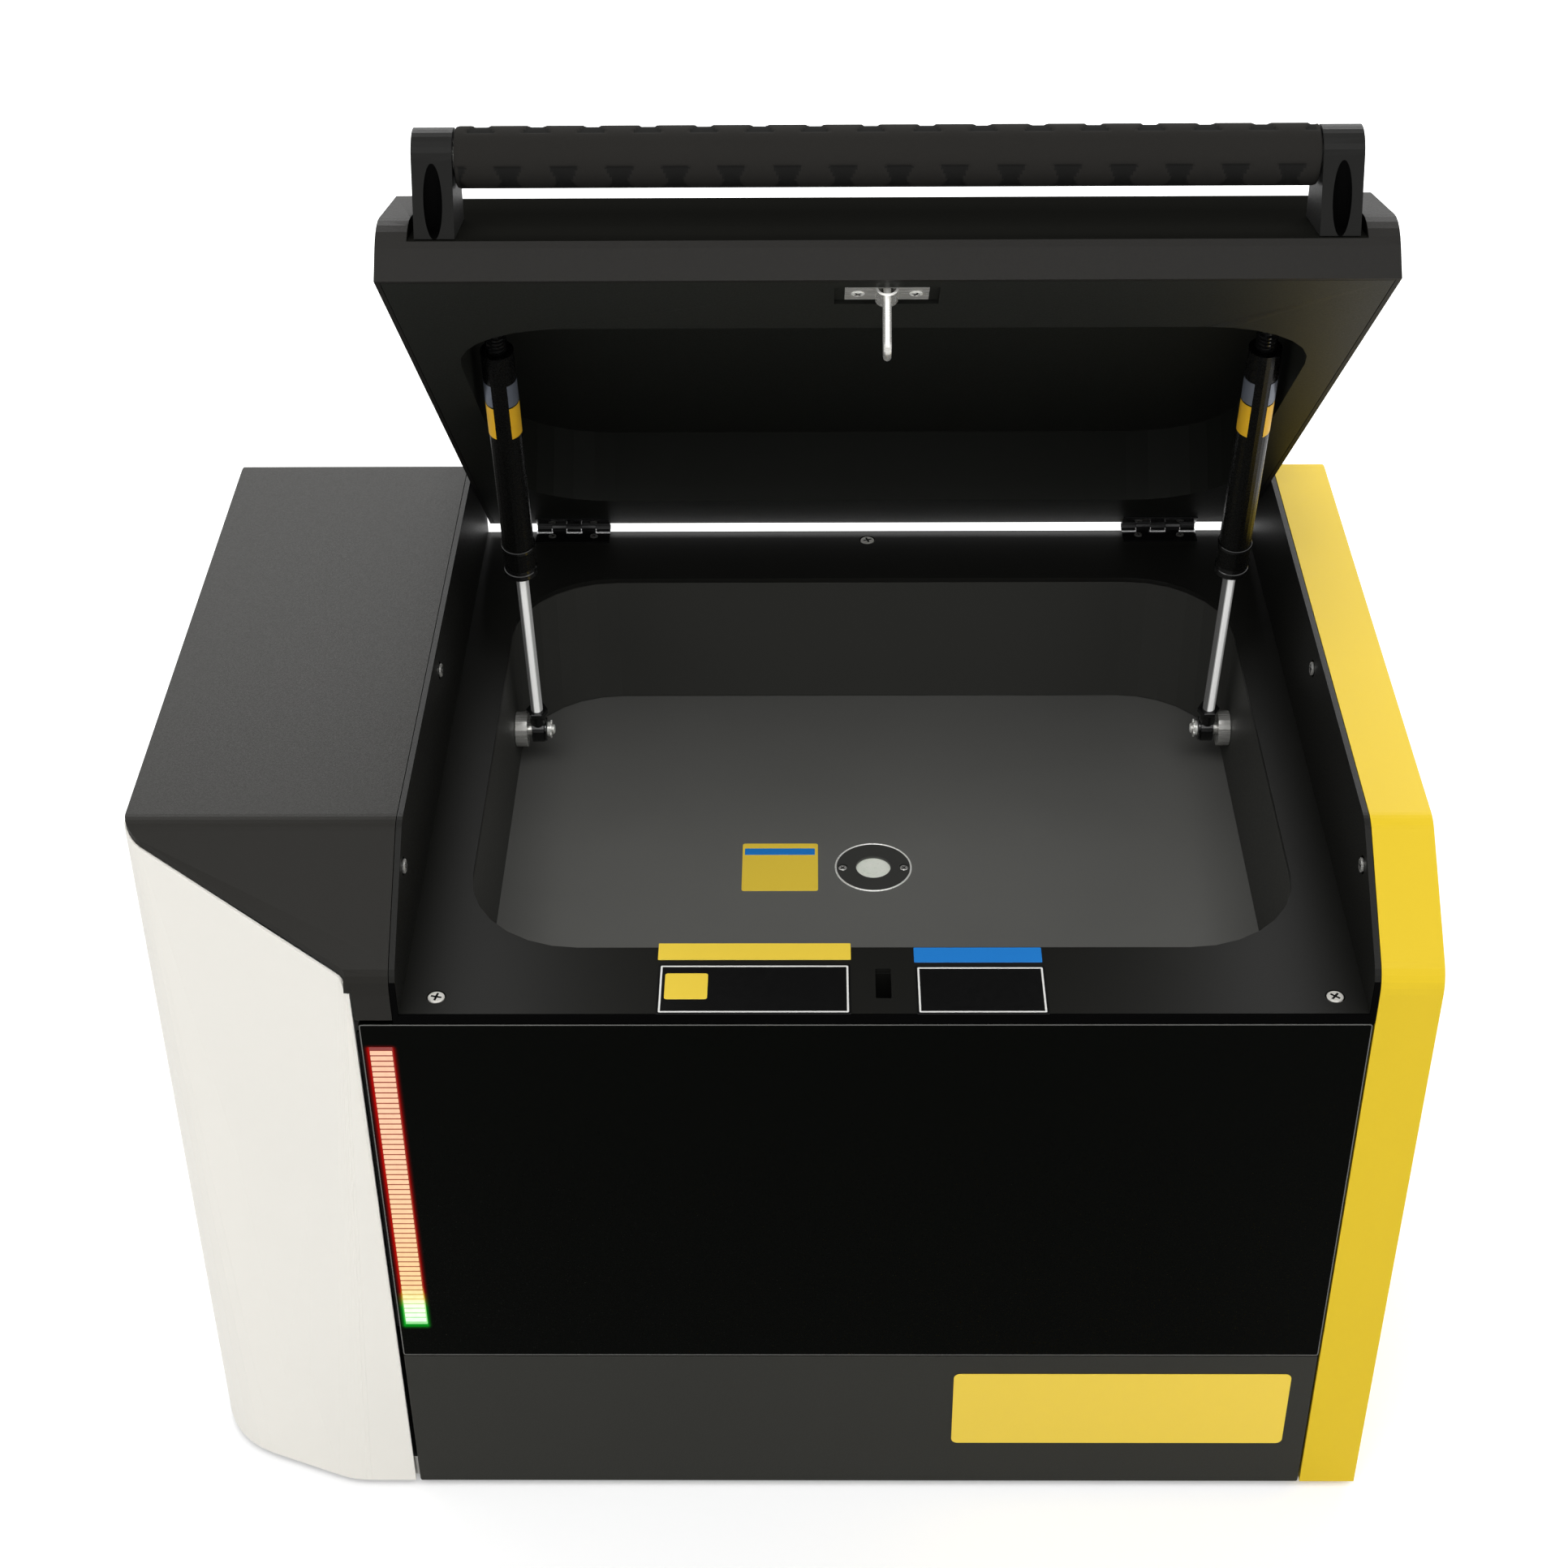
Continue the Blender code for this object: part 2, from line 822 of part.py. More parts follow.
# Bay liner: the seat, its front lip and the two side walls
def bay_screw_places():
    low_x = bay_left + seat_screw_left
    high_x = bay_right - seat_screw_right
    front_y = front + seat_screw_front
    return [(low_x, front_y), (high_x, front_y), (bay_centre, back - rear_screw_from_back)]


def wall_screw_places():
    return [
        (front + wall_screw_back_y, body_height - wall_screw_back_drop),
        (front + wall_screw_front_y, body_height - wall_screw_front_drop),
    ]


def hinge_starts():
    low = bay_left + hinge_left_from_bay
    return [low, bay_right - hinge_right_from_bay - hinge_length]


def hinge_screw_places():
    places = []
    middle_y = hinge_y - hinge_knuckle_radius - hinge_leaf_depth / 2
    for start in hinge_starts():
        for place_x in (start + hinge_screw_inset, start + hinge_length - hinge_screw_inset):
            places.append((place_x, middle_y))
    return places


def chamber_outline(distance):
    radius = chamber_corner + distance
    return rounded_rectangle(chamber_left - distance, chamber_right + distance,
                             front + chamber_front - distance, front + chamber_back + distance, radius)


def latch_slot_outline(margin=0):
    half_width = latch_slot_width / 2 + margin
    half_length = latch_slot_length / 2 + margin
    return rectangle(latch_x - half_width, latch_x + half_width,
                     latch_y - half_length, latch_y + half_length)


def make_bay_liner(material):
    liner = prism("bay_liner", housing_outline(0, 0), "X", liner_left, liner_right, material)
    lip_bottom = seat_height - seat_lip_height
    cut(liner, block("below", (liner_left - overrun, front - overrun, -overrun),
                     (liner_right + overrun, back + overrun, lip_bottom)))
    cut(liner, block("under_seat", (liner_left - overrun, front + sheet, lip_bottom - overrun),
                     (liner_right + overrun, back + overrun, seat_bottom)))
    cut(liner, block("bay", (bay_left, front - overrun, seat_height),
                     (bay_right, back + overrun, body_height + overrun)))
    cut(liner, block("behind_seat", (bay_left, lid_back, seat_bottom - overrun),
                     (bay_right, back + overrun, body_height + overrun)))
    cut(liner, prism("chamber", chamber_outline(0), "Z", seat_bottom - overrun, seat_height + overrun))
    holes = bmesh.new()
    deep = seat_bottom - overrun
    tall = sheet + 2 * overrun
    add_prism(holes, latch_slot_outline(), "Z", deep, deep + tall)
    well = screw_head_radius + small_hole_play
    for place_x, place_y in bay_screw_places():
        add_turned(holes, rod_rows(well, tall), (place_x, place_y, deep), (0, 0, 1), round_sides)
    for place_x, place_y in hinge_screw_places():
        narrow = small_screw_shank + small_hole_play
        add_turned(holes, rod_rows(narrow, tall), (place_x, place_y, deep), (0, 0, 1), small_sides)
    for wall_x in (liner_left, bay_right):
        for place_y, place_z in wall_screw_places():
            start = (wall_x - overrun, place_y, place_z)
            add_turned(holes, rod_rows(well, tall), start, (1, 0, 0), round_sides)
    return cut(liner, add_object("holes", holes, None))


# Sample chamber
def make_chamber_tub(material):
    tub = prism("chamber_tub", chamber_outline(tub_wall), "Z", chamber_floor_top + clearance,
                tub_top, material)
    flange = prism("flange", chamber_outline(tub_wall + tub_flange), "Z", tub_top - tub_wall, tub_top)
    weld(tub, flange)
    inside = prism("inside", chamber_outline(0), "Z", chamber_floor_top - overrun, tub_top + overrun)
    cut(tub, inside)
    holes = bmesh.new()
    bore = small_screw_shank + small_hole_play
    for side_x in (chamber_left - tub_wall - overrun, chamber_right - overrun):
        spot = (side_x, strut_low.y, strut_low.z)
        add_turned(holes, rod_rows(bore, tub_wall + 2 * overrun), spot, (1, 0, 0), small_sides)
    return cut(tub, add_object("holes", holes, None))


def window_screw_places():
    return [(window_x + side * window_screw_pitch, window_y) for side in (-1, 1)]


def make_chamber_floor(material):
    floor = prism("chamber_floor", chamber_outline(tub_wall + tub_flange), "Z", floor_bottom,
                  chamber_floor_top, material)
    ring_bottom = chamber_floor_top - window_ring_thickness
    film_bottom = ring_bottom - film_thickness - clearance
    recess = rod("recess", window_ring_radius + clearance, (window_x, window_y, ring_bottom),
                 (0, 0, 1), window_ring_thickness + overrun, disc_sides)
    cut(floor, recess)
    seat = rod("film_seat", film_radius + clearance, (window_x, window_y, film_bottom),
               (0, 0, 1), window_ring_thickness + overrun, disc_sides)
    cut(floor, seat)
    cut(floor, rod("beam_hole", window_hole_radius, (window_x, window_y, floor_bottom - overrun),
                   (0, 0, 1), floor_thickness + 2 * overrun, round_sides))
    holes = bmesh.new()
    for place_x, place_y in window_screw_places():
        start = (place_x, place_y, floor_bottom - overrun)
        bore = small_screw_shank + small_hole_play
        add_turned(holes, rod_rows(bore, floor_thickness + 2 * overrun), start, (0, 0, 1), small_sides)
    return cut(floor, add_object("holes", holes, None))


def make_window_ring(material):
    low = chamber_floor_top - window_ring_thickness + clearance
    ring = tube("window_ring", window_ring_radius, window_hole_radius, (window_x, window_y, low),
                (0, 0, 1), window_ring_thickness, disc_sides, material)
    holes = bmesh.new()
    for place_x, place_y in window_screw_places():
        start = (place_x, place_y, low - overrun)
        bore = small_screw_radius + small_hole_play
        add_turned(holes, rod_rows(bore, 2 * overrun), start, (0, 0, 1), small_sides)
    return cut(ring, add_object("holes", holes, None))


def make_window_film(material):
    low = chamber_floor_top - window_ring_thickness - film_thickness
    return rod("window_film", film_radius, (window_x, window_y, low), (0, 0, 1), film_thickness,
               disc_sides, material)


# Front face
def glass_left():
    return left + white_cover_front_x + glass_left_gap


def light_low_x():
    return glass_left() + light_left


def make_front_glass(material):
    high_x = cover_left - glass_right_gap
    glass = prism("front_glass", rectangle(glass_left(), high_x, glass_bottom, glass_top), "Y",
                  front, front + glass_thickness, material)
    slot = rectangle(light_low_x() - clearance, light_low_x() + light_width + clearance,
                     glass_bottom + light_bottom - clearance,
                     glass_bottom + light_bottom + light_length + clearance)
    return cut(glass, prism("light_slot", slot, "Y", front - overrun, front + glass_thickness + overrun))


def make_led_light_bar(material):
    low = glass_bottom + light_bottom
    outline = rectangle(light_low_x(), light_low_x() + light_width, low, low + light_length)
    start = front + glass_thickness - light_depth
    return prism("led_light_bar", outline, "Y", start, start + light_depth, material)


def make_led_board(material):
    low = glass_bottom + light_bottom - light_width / 2
    high = low + light_length + light_width
    side = light_width / 2
    outline = rectangle(light_low_x() - side, light_low_x() + light_width + side, low, high)
    start = front + glass_thickness + clearance
    return prism("led_board", outline, "Y", start, start + light_board_thickness, material)


def make_display_module(material):
    middle = (glass_bottom + glass_top) / 2
    start = front + glass_thickness + clearance
    module = block("display_module",
                   (bay_centre - display_width / 2, start, middle - display_tall / 2),
                   (bay_centre + display_width / 2, start + display_depth, middle + display_tall / 2),
                   material)
    return module


def make_lower_front_panel(material):
    outline = rectangle(glass_left(), cover_left - glass_right_gap, 0, lower_panel_top)
    return prism("lower_front_panel", outline, "Y", front, front + sheet, material)


# Rear side
def inlet_outline(margin):
    return rectangle(inlet_x - inlet_width / 2 - margin, inlet_x + inlet_width / 2 + margin,
                     inlet_z - inlet_height / 2 - margin, inlet_z + inlet_height / 2 + margin)


def rocker_outline(margin):
    half_width = rocker_width / 2 + margin
    half_length = rocker_length / 2 + margin
    return rectangle(inlet_x - half_length, inlet_x + half_length, rocker_z - half_width,
                     rocker_z + half_width)


def make_rear_panel(material):
    low_x = left + white_rear_return + clearance
    outline = rectangle(low_x, liner_right, clearance, seat_bottom - clearance)
    panel = prism("rear_panel", outline, "Y", panel_inner, back, material)
    holes = bmesh.new()
    low = panel_inner - overrun
    high = back + overrun
    add_prism(holes, inlet_outline(clearance), "Y", low, high)
    add_prism(holes, rocker_outline(rocker_frame_width + clearance), "Y", low, high)
    add_prism(holes, circle_outline(fan_x, fan_z, fan_bore_radius, disc_sides), "Y", low, high)
    return cut(panel, add_object("holes", holes, None))


def make_power_inlet(material):
    body = prism("power_inlet", inlet_outline(0), "Y", back + inlet_lip - inlet_depth,
                 back + inlet_lip, material)
    lip = prism("lip", inlet_outline(inlet_lip_margin), "Y", back + clearance, back + inlet_lip)
    weld(body, lip)
    socket_floor = back + inlet_lip - inlet_socket_depth
    socket = rectangle(inlet_x - inlet_socket_width / 2, inlet_x + inlet_socket_width / 2,
                       inlet_z - inlet_socket_height / 2, inlet_z + inlet_socket_height / 2)
    cut(body, prism("socket", socket, "Y", socket_floor, back + inlet_lip + overrun))
    blades = bmesh.new()
    for side in (-1, 0, 1):
        place_x = inlet_x + side * inlet_blade_pitch
        rise = inlet_blade_rise if side == 0 else -inlet_blade_rise
        outline = rectangle(place_x - inlet_blade_width / 2, place_x + inlet_blade_width / 2,
                            inlet_z + rise - inlet_blade_height / 2,
                            inlet_z + rise + inlet_blade_height / 2)
        add_prism(blades, outline, "Y", socket_floor - inlet_lip, socket_floor + inlet_blade_length)
    return weld(body, add_object("blades", blades, None))


def make_rocker_frame(material):
    frame = prism("rocker_frame", rocker_outline(rocker_frame_width), "Y",
                  back - rocker_frame_depth, back + inlet_lip, material)
    lip = prism("lip", rocker_outline(rocker_frame_width + inlet_lip_margin / 2), "Y",
                back + clearance, back + inlet_lip)
    weld(frame, lip)
    inside = prism("inside", rocker_outline(rocker_gap), "Y", back - rocker_frame_depth - overrun,
                   back + inlet_lip + overrun)
    return cut(frame, inside)


# The rocker turns about Z, in the middle of its frame
def rocker_pivot_place():
    return Vector((inlet_x, back - rocker_frame_depth / 2, rocker_z))


def make_power_rocker(material):
    pivot_y = rocker_pivot_place().y
    half = rocker_length / 2
    shoulder = back + inlet_lip
    points = [
        (inlet_x - half, pivot_y),
        (inlet_x - half + rocker_taper, shoulder),
        (inlet_x, shoulder - rocker_rise / 2),
        (inlet_x + half - rocker_taper, shoulder),
        (inlet_x + half, pivot_y),
        (inlet_x, pivot_y - rocker_rise),
    ]
    rocker = prism("power_rocker", points, "Z", rocker_z - rocker_width / 2,
                   rocker_z + rocker_width / 2, material)
    reach = rocker_width / 2 + rocker_gap - clearance
    start = (inlet_x, pivot_y, rocker_z - reach)
    return weld(rocker, rod("pin", rocker_pin_radius, start, (0, 0, 1), 2 * reach, small_sides))


def fan_inner():
    return panel_inner - clearance - fan_depth


def make_fan_frame(material):
    half = fan_size / 2
    outline = rectangle(fan_x - half, fan_x + half, fan_z - half, fan_z + half)
    frame = prism("fan_frame", outline, "Y", fan_inner(), fan_inner() + fan_depth, material)
    bore = prism("bore", circle_outline(fan_x, fan_z, fan_bore_radius, disc_sides), "Y",
                 fan_inner() - overrun, fan_inner() + fan_depth + overrun)
    cut(frame, bore)
    spokes = bmesh.new()
    add_turned(spokes, rod_rows(fan_hub_radius, fan_spoke_depth), (fan_x, fan_inner(), fan_z),
               (0, 1, 0), round_sides)
    weld(frame, add_object("hub", spokes, None))
    for place in range(fan_spoke_count):
        turn = math.tau * place / fan_spoke_count
        weld(frame, radial_bar(turn, 0, fan_bore_radius + fan_spoke_depth / 2, fan_spoke_width,
                               fan_inner(), fan_spoke_depth - clearance))
    shaft = rod("shaft", fan_shaft_radius, (fan_x, fan_inner() + fan_spoke_depth / 2, fan_z), (0, 1, 0),
                fan_hub_depth, small_sides)
    return weld(frame, shaft)


def radial_bar(turn, start, stop, width, low_y, depth):
    way = Vector((math.cos(turn), math.sin(turn)))
    side = Vector((-way.y, way.x)) * (width / 2)
    middle = Vector((fan_x, fan_z))
    ends = [middle + way * start, middle + way * stop]
    outline = [ends[0] - side, ends[1] - side, ends[1] + side, ends[0] + side]
    return prism("bar", [(point.x, point.y) for point in outline], "Y", low_y, low_y + depth)


def make_fan_rotor(material):
    start = fan_inner() + fan_spoke_depth + fan_rotor_gap
    bore = fan_shaft_radius + fan_shaft_play
    rotor = tube("fan_rotor", fan_hub_radius, bore, (fan_x, start, fan_z), (0, 1, 0), fan_hub_depth,
                 round_sides, material)
    lean = math.tan(math.radians(fan_blade_degrees))
    for place in range(fan_blade_count):
        turn = Matrix.Rotation(math.tau * place / fan_blade_count, 4, "Y")
        blade = bmesh.new()
        rows = []
        for along in (fan_rotor_gap, fan_hub_depth - fan_rotor_gap):
            shift = (along - fan_hub_depth / 2) / lean / 2
            for reach in (fan_hub_radius - fan_blade_thickness * 2, fan_blade_radius):
                for side in (-1, 1):
                    spot = Vector((shift + side * fan_blade_thickness, 0, reach))
                    spot = turn @ spot + Vector((fan_x, start + along, fan_z))
                    rows.append(blade.verts.new(spot))
        near_low, near_high, far_low, far_high = rows[0:4]
        top_near_low, top_near_high, top_far_low, top_far_high = rows[4:8]
        for corners in ((near_low, near_high, far_high, far_low),
                        (top_near_low, top_near_high, top_far_high, top_far_low),
                        (near_low, near_high, top_near_high, top_near_low),
                        (far_low, far_high, top_far_high, top_far_low),
                        (near_low, far_low, top_far_low, top_near_low),
                        (near_high, far_high, top_far_high, top_near_high)):
            blade.faces.new(corners)
        weld(rotor, add_object("blade", blade, None))
    return rotor


def make_fan_guard(material):
    low = back + clearance
    rings = bmesh.new()
    outer = fan_bore_radius + guard_wire
    for place in range(guard_ring_count):
        radius = outer - place * guard_pitch
        rows = [(radius, 0), (radius, guard_wire), (radius - guard_wire, guard_wire),
                (radius - guard_wire, 0)]
        add_turned(rings, rows, (fan_x, low, fan_z), (0, 1, 0), round_sides, ring=True)
    guard = add_object("fan_guard", rings, material)
    reach = outer + guard_pitch / 2
    for place in range(guard_bar_count // 2):
        turn = math.radians(guard_turn_degrees) + math.pi * place / 2
        way = Vector((math.cos(turn), math.sin(turn))) * reach
        side = Vector((-way.y, way.x)).normalized() * guard_wire
        middle = Vector((fan_x, fan_z))
        outline = [middle - way - side, middle + way - side, middle + way + side, middle - way + side]
        weld(guard, prism("bar", [(point.x, point.y) for point in outline], "Y", low + clearance,
                          low + guard_wire + clearance))
    return guard


# Optics under the chamber floor: the source leans to the right and the detector to the left
def lean_direction(side):
    return Vector((side, 0, -1)).normalized()


def lean_face(side):
    middle = (optics_half_width + optics_toe) / 2
    return beam_point + Vector((side * middle, 0, -face_length / 2))


def make_optics_block(material):
    top = floor_bottom - clearance
    shoulder = beam_point.z
    toe = shoulder - face_length
    points = [
        (window_x - optics_half_width, top),
        (window_x + optics_half_width, top),
        (window_x + optics_half_width, shoulder),
        (window_x + optics_toe, toe),
        (window_x - optics_toe, toe),
        (window_x - optics_half_width, shoulder),
    ]
    solid = prism("optics_block", points, "Y", window_y - optics_depth / 2,
                  window_y + optics_depth / 2, material)
    cut(solid, rod("window_bore", window_hole_radius, (window_x, window_y, top - optics_shoulder),
                   (0, 0, 1), optics_shoulder + overrun))
    for side in (-1, 1):
        start = lean_face(side) + lean_direction(side) * overrun
        cut(solid, rod("beam", beam_bore_radius, start, -lean_direction(side),
                       face_length, small_sides))
    return solid


def source_start():
    gap = wheel_gap + wheel_thickness + wheel_gap
    return lean_face(1) + lean_direction(1) * gap


def make_xray_tube(material):
    rows = [
        (0, 0),
        (source_neck_radius, 0),
        (source_neck_radius, source_neck_length),
        (source_radius, source_neck_length),
        (source_radius, source_length),
        (source_neck_radius, source_length),
        (source_neck_radius, source_length + source_neck_length),
        (0, source_length + source_neck_length),
    ]
    return turned("xray_tube", rows, source_start(), lean_direction(1), round_sides, material)


def wheel_centre():
    return lean_face(1) + lean_direction(1) * wheel_gap + Vector((0, wheel_offset, 0))


def make_filter_wheel(material):
    centre = wheel_centre()
    way = lean_direction(1)
    wheel = tube("filter_wheel", wheel_radius, wheel_bore_radius, centre, way, wheel_thickness,
                 disc_sides, material)
    holes = bmesh.new()
    for place in range(wheel_hole_count):
        turn = Matrix.Rotation(math.tau * place / wheel_hole_count, 4, way)
        spot = centre + turn @ Vector((0, -wheel_offset, 0)) - way * overrun
        add_turned(holes, rod_rows(wheel_hole_radius, wheel_thickness + 2 * overrun), spot, way, small_sides)
    return cut(wheel, add_object("holes", holes, None))


def make_filter_motor(material):
    way = lean_direction(1)
    start = wheel_centre() - way * wheel_gap / 2
    body_start = wheel_gap + wheel_thickness + wheel_gap
    rows = [
        (0, 0),
        (motor_shaft_radius, 0),
        (motor_shaft_radius, body_start),
        (motor_radius, body_start),
        (motor_radius, body_start + motor_length),
        (0, body_start + motor_length),
    ]
    return turned("filter_motor", rows, start, way, round_sides, material)


def clamp_plate(name, side, start, motor_reach, material):
    way = lean_direction(side)
    across = Vector((way.z, 0, -way.x)) * side
    middle = start + way * clamp_start
    low_y = window_y - clamp_half
    high_y = window_y + clamp_half + motor_reach
    mesh_data = bmesh.new()
    rings = []
    for depth in (0, clamp_thickness):
        ring = []
        for reach, place_y in ((-1, low_y), (1, low_y), (1, high_y), (-1, high_y)):
            spot = middle + way * depth + across * (reach * clamp_half)
            ring.append(mesh_data.verts.new((spot.x, place_y, spot.z)))
        rings.append(ring)
    mesh_data.faces.new(rings[0])
    mesh_data.faces.new(list(reversed(rings[1])))
    for place in range(len(ring)):
        after = (place + 1) % len(ring)
        mesh_data.faces.new([rings[0][place], rings[1][place], rings[1][after], rings[0][after]])
    return add_object(name, mesh_data, material)


def make_source_clamp(material):
    reach = clamp_motor_reach - clamp_half + motor_radius
    plate = clamp_plate("source_clamp", 1, source_start(), reach, material)
    way = lean_direction(1)
    cut(plate, rod("bore", source_radius + clamp_play, source_start() - way * overrun, way,
                   source_length))
    return cut(plate, rod("motor_bore", motor_radius + clamp_play, wheel_centre(), way, source_length))


def detector_start():
    return lean_face(-1) + lean_direction(-1) * clearance


def make_detector(material):
    rows = [
        (0, 0),
        (detector_nose_radius, 0),
        (detector_nose_radius, detector_nose_length),
        (detector_radius, detector_nose_length),
        (detector_radius, detector_length),
        (0, detector_length),
    ]
    return turned("detector", rows, detector_start(), lean_direction(-1), round_sides, material)


def make_detector_clamp(material):
    plate = clamp_plate("detector_clamp", -1, source_start_mirror(), 0, material)
    way = lean_direction(-1)
    return cut(plate, rod("bore", detector_radius + clamp_play, detector_start() - way * overrun,
                          way, source_length))


def source_start_mirror():
    gap = wheel_gap + wheel_thickness + wheel_gap
    return lean_face(-1) + lean_direction(-1) * gap


# A folded stand whose two slopes carry the clamps
def make_optics_stand(material):
    slope_gap = (clamp_half + clearance) * math.sqrt(2)
    face_x = (optics_half_width + optics_toe) / 2
    face_z = beam_point.z - face_length / 2
    peak = face_z + face_x - slope_gap
    floor_z = sheet + clearance
    half_foot = peak - stand_foot_height - floor_z
    shift = stand_wall * math.sqrt(2)
    outer = [
        (window_x - half_foot, floor_z),
        (window_x + half_foot, floor_z),
        (window_x + half_foot, floor_z + stand_foot_height),
        (window_x + stand_top_half, peak - stand_top_half),
        (window_x - stand_top_half, peak - stand_top_half),
        (window_x - half_foot, floor_z + stand_foot_height),
    ]
    inner_half = half_foot - stand_wall
    inner_top = stand_top_half + stand_wall - shift
    inner = [
        (window_x - inner_half, floor_z + stand_wall),
        (window_x + inner_half, floor_z + stand_wall),
        (window_x + inner_half, floor_z + stand_foot_height - shift + stand_wall),
        (window_x + inner_top, peak - shift - inner_top),
        (window_x - inner_top, peak - shift - inner_top),
        (window_x - inner_half, floor_z + stand_foot_height - shift + stand_wall),
    ]
    low = window_y - stand_depth / 2
    stand = prism("optics_stand", outer, "Y", low, low + stand_depth, material)
    return cut(stand, prism("inside", inner, "Y", low - overrun, low + stand_depth + overrun))


# Electronics
def make_power_supply(material):
    low = Vector((left + supply_from_left, back - supply_from_back - supply_depth, sheet + clearance))
    size = Vector((supply_width, supply_depth, supply_height))
    return block("power_supply", low, low + size, material)


def make_high_voltage_supply(material):
    low = Vector((left + high_voltage_from_left, front + high_voltage_from_front, sheet + clearance))
    size = Vector((high_voltage_width, high_voltage_depth, high_voltage_height))
    return block("high_voltage_supply", low, low + size, material)


def board_corner():
    low_z = sheet + clearance + board_tray_thickness + standoff_height + clearance
    return Vector((left + board_from_left, back - board_from_back - board_depth, low_z))


def make_main_board(material):
    low = board_corner()
    size = Vector((board_width, board_depth, board_thickness))
    return block("main_board", low, low + size, material)


def make_board_tray(material):
    low = board_corner()
    low_z = sheet + clearance
    high = (low.x + board_width, low.y + board_depth, low_z + board_tray_thickness)
    tray = block("board_tray", (low.x, low.y, low_z), high, material)
    posts = bmesh.new()
    length = standoff_height + board_tray_thickness / 2
    for place_x in (low.x + standoff_inset, low.x + board_width - standoff_inset):
        for place_y in (low.y + standoff_inset, low.y + board_depth - standoff_inset):
            start = (place_x, place_y, low_z + board_tray_thickness / 2)
            add_turned(posts, rod_rows(standoff_radius, length), start, (0, 0, 1), post_sides)
    return weld(tray, add_object("posts", posts, None))


# Lid lock under the seat
def lock_low_z():
    return tub_top - lock_depth


def make_lock_housing(material):
    margin = lock_wall + clearance
    housing = prism("lock_housing", latch_slot_outline(margin), "Z", lock_low_z(), tub_top, material)
    cut(housing, prism("cavity", latch_slot_outline(clearance), "Z", lock_low_z() + lock_wall / 2,
                       tub_top + overrun))
    bore_start = (latch_x, latch_y, tub_top - lock_bolt_drop)
    return cut(housing, rod("bore", lock_bolt_bore, bore_start, (1, 0, 0), latch_slot_width * 2))


def solenoid_left():
    return latch_x + latch_slot_width / 2 + lock_wall + solenoid_gap


def make_lock_solenoid(material):
    half = latch_slot_length / 2
    low = (solenoid_left(), latch_y - half, tub_top - solenoid_height)
    high = (solenoid_left() + solenoid_length, latch_y + half, tub_top)
    coil = block("lock_solenoid", low, high, material)
    bore_start = (solenoid_left() - overrun, latch_y, tub_top - lock_bolt_drop)
    depth = lock_bolt_length + lock_bolt_back
    return cut(coil, rod("bore", lock_bolt_bore, bore_start, (1, 0, 0), depth))


def make_lock_bolt(material):
    start = (latch_x + latch_slot_width / 2 + clearance + lock_bolt_back / 2, latch_y,
             tub_top - lock_bolt_drop)
    return rod("lock_bolt", lock_bolt_radius, start, (1, 0, 0), lock_bolt_length, small_sides * 2,
               material)


# Lid, modelled shut; its empty turns it open
def lid_corners():
    chamfer_end = front + front_chamfer_run
    return [
        (lid_front, lid_bottom),
        (lid_front, lid_corner_z),
        (chamfer_end, body_height),
        (back - rear_chamfer_run, body_height),
        (lid_back, rear_height + lid_back_gap * (body_height - rear_height) / rear_chamfer_run),
        (lid_back, lid_bottom),
    ]


def lid_outline(depth, chamfer_depth, bottom_depth):
    depths = [depth, chamfer_depth, depth, depth, depth, bottom_depth]
    bend = bend_radius - chamfer_depth
    front_bend = lid_bend_radius - chamfer_depth
    return round_corners(inset_outline(lid_corners(), depths), [0, front_bend, bend, bend, bend, 0],
                         bend_steps)


def chamfer_point(run, rise, place_x=0):
    return pocket_edge + along_chamfer * run + off_chamfer * rise + Vector((place_x, 0, 0))


def chamfer_prism(name, points, low_x, high_x, material=None):
    outline = []
    for run, rise in points:
        spot = chamfer_point(run, rise)
        outline.append((spot.y, spot.z))
    return prism(name, outline, "X", low_x, high_x, material)


def make_lid_shell(material):
    shell = prism("lid_shell", lid_outline(0, 0, 0), "X", lid_left, lid_right, material)
    deep = lid_pocket_depth + lid_front_rise * math.cos(chamfer_angle) + lid_wall
    cut(shell, prism("inside", lid_outline(lid_wall, deep, -overrun), "X", lid_left + lid_wall,
                     lid_right - lid_wall))
    reach = front_chamfer_run * 2
    tall = bend_radius + lid_pocket_depth + lid_front_rise
    half = lid_pocket_width / 2
    pocket = chamfer_prism("pocket", rectangle(-reach, reach, 0, tall), bay_centre - half,
                           bay_centre + half)
    return cut(shell, pocket)


def recess_outline(distance):
    return rounded_rectangle(chamber_left - distance, chamber_right + distance,
                             front + lid_recess_front - distance, back - lid_recess_back_margin + distance,
                             chamber_corner + distance)


def striker_screw_places():
    return [(latch_x + side * striker_screw_pitch, latch_y) for side in (-1, 1)]


def striker_leg_places():
    half = loop_width / 2 - loop_wire_radius
    return [(latch_x, latch_y - half), (latch_x, latch_y + half)]


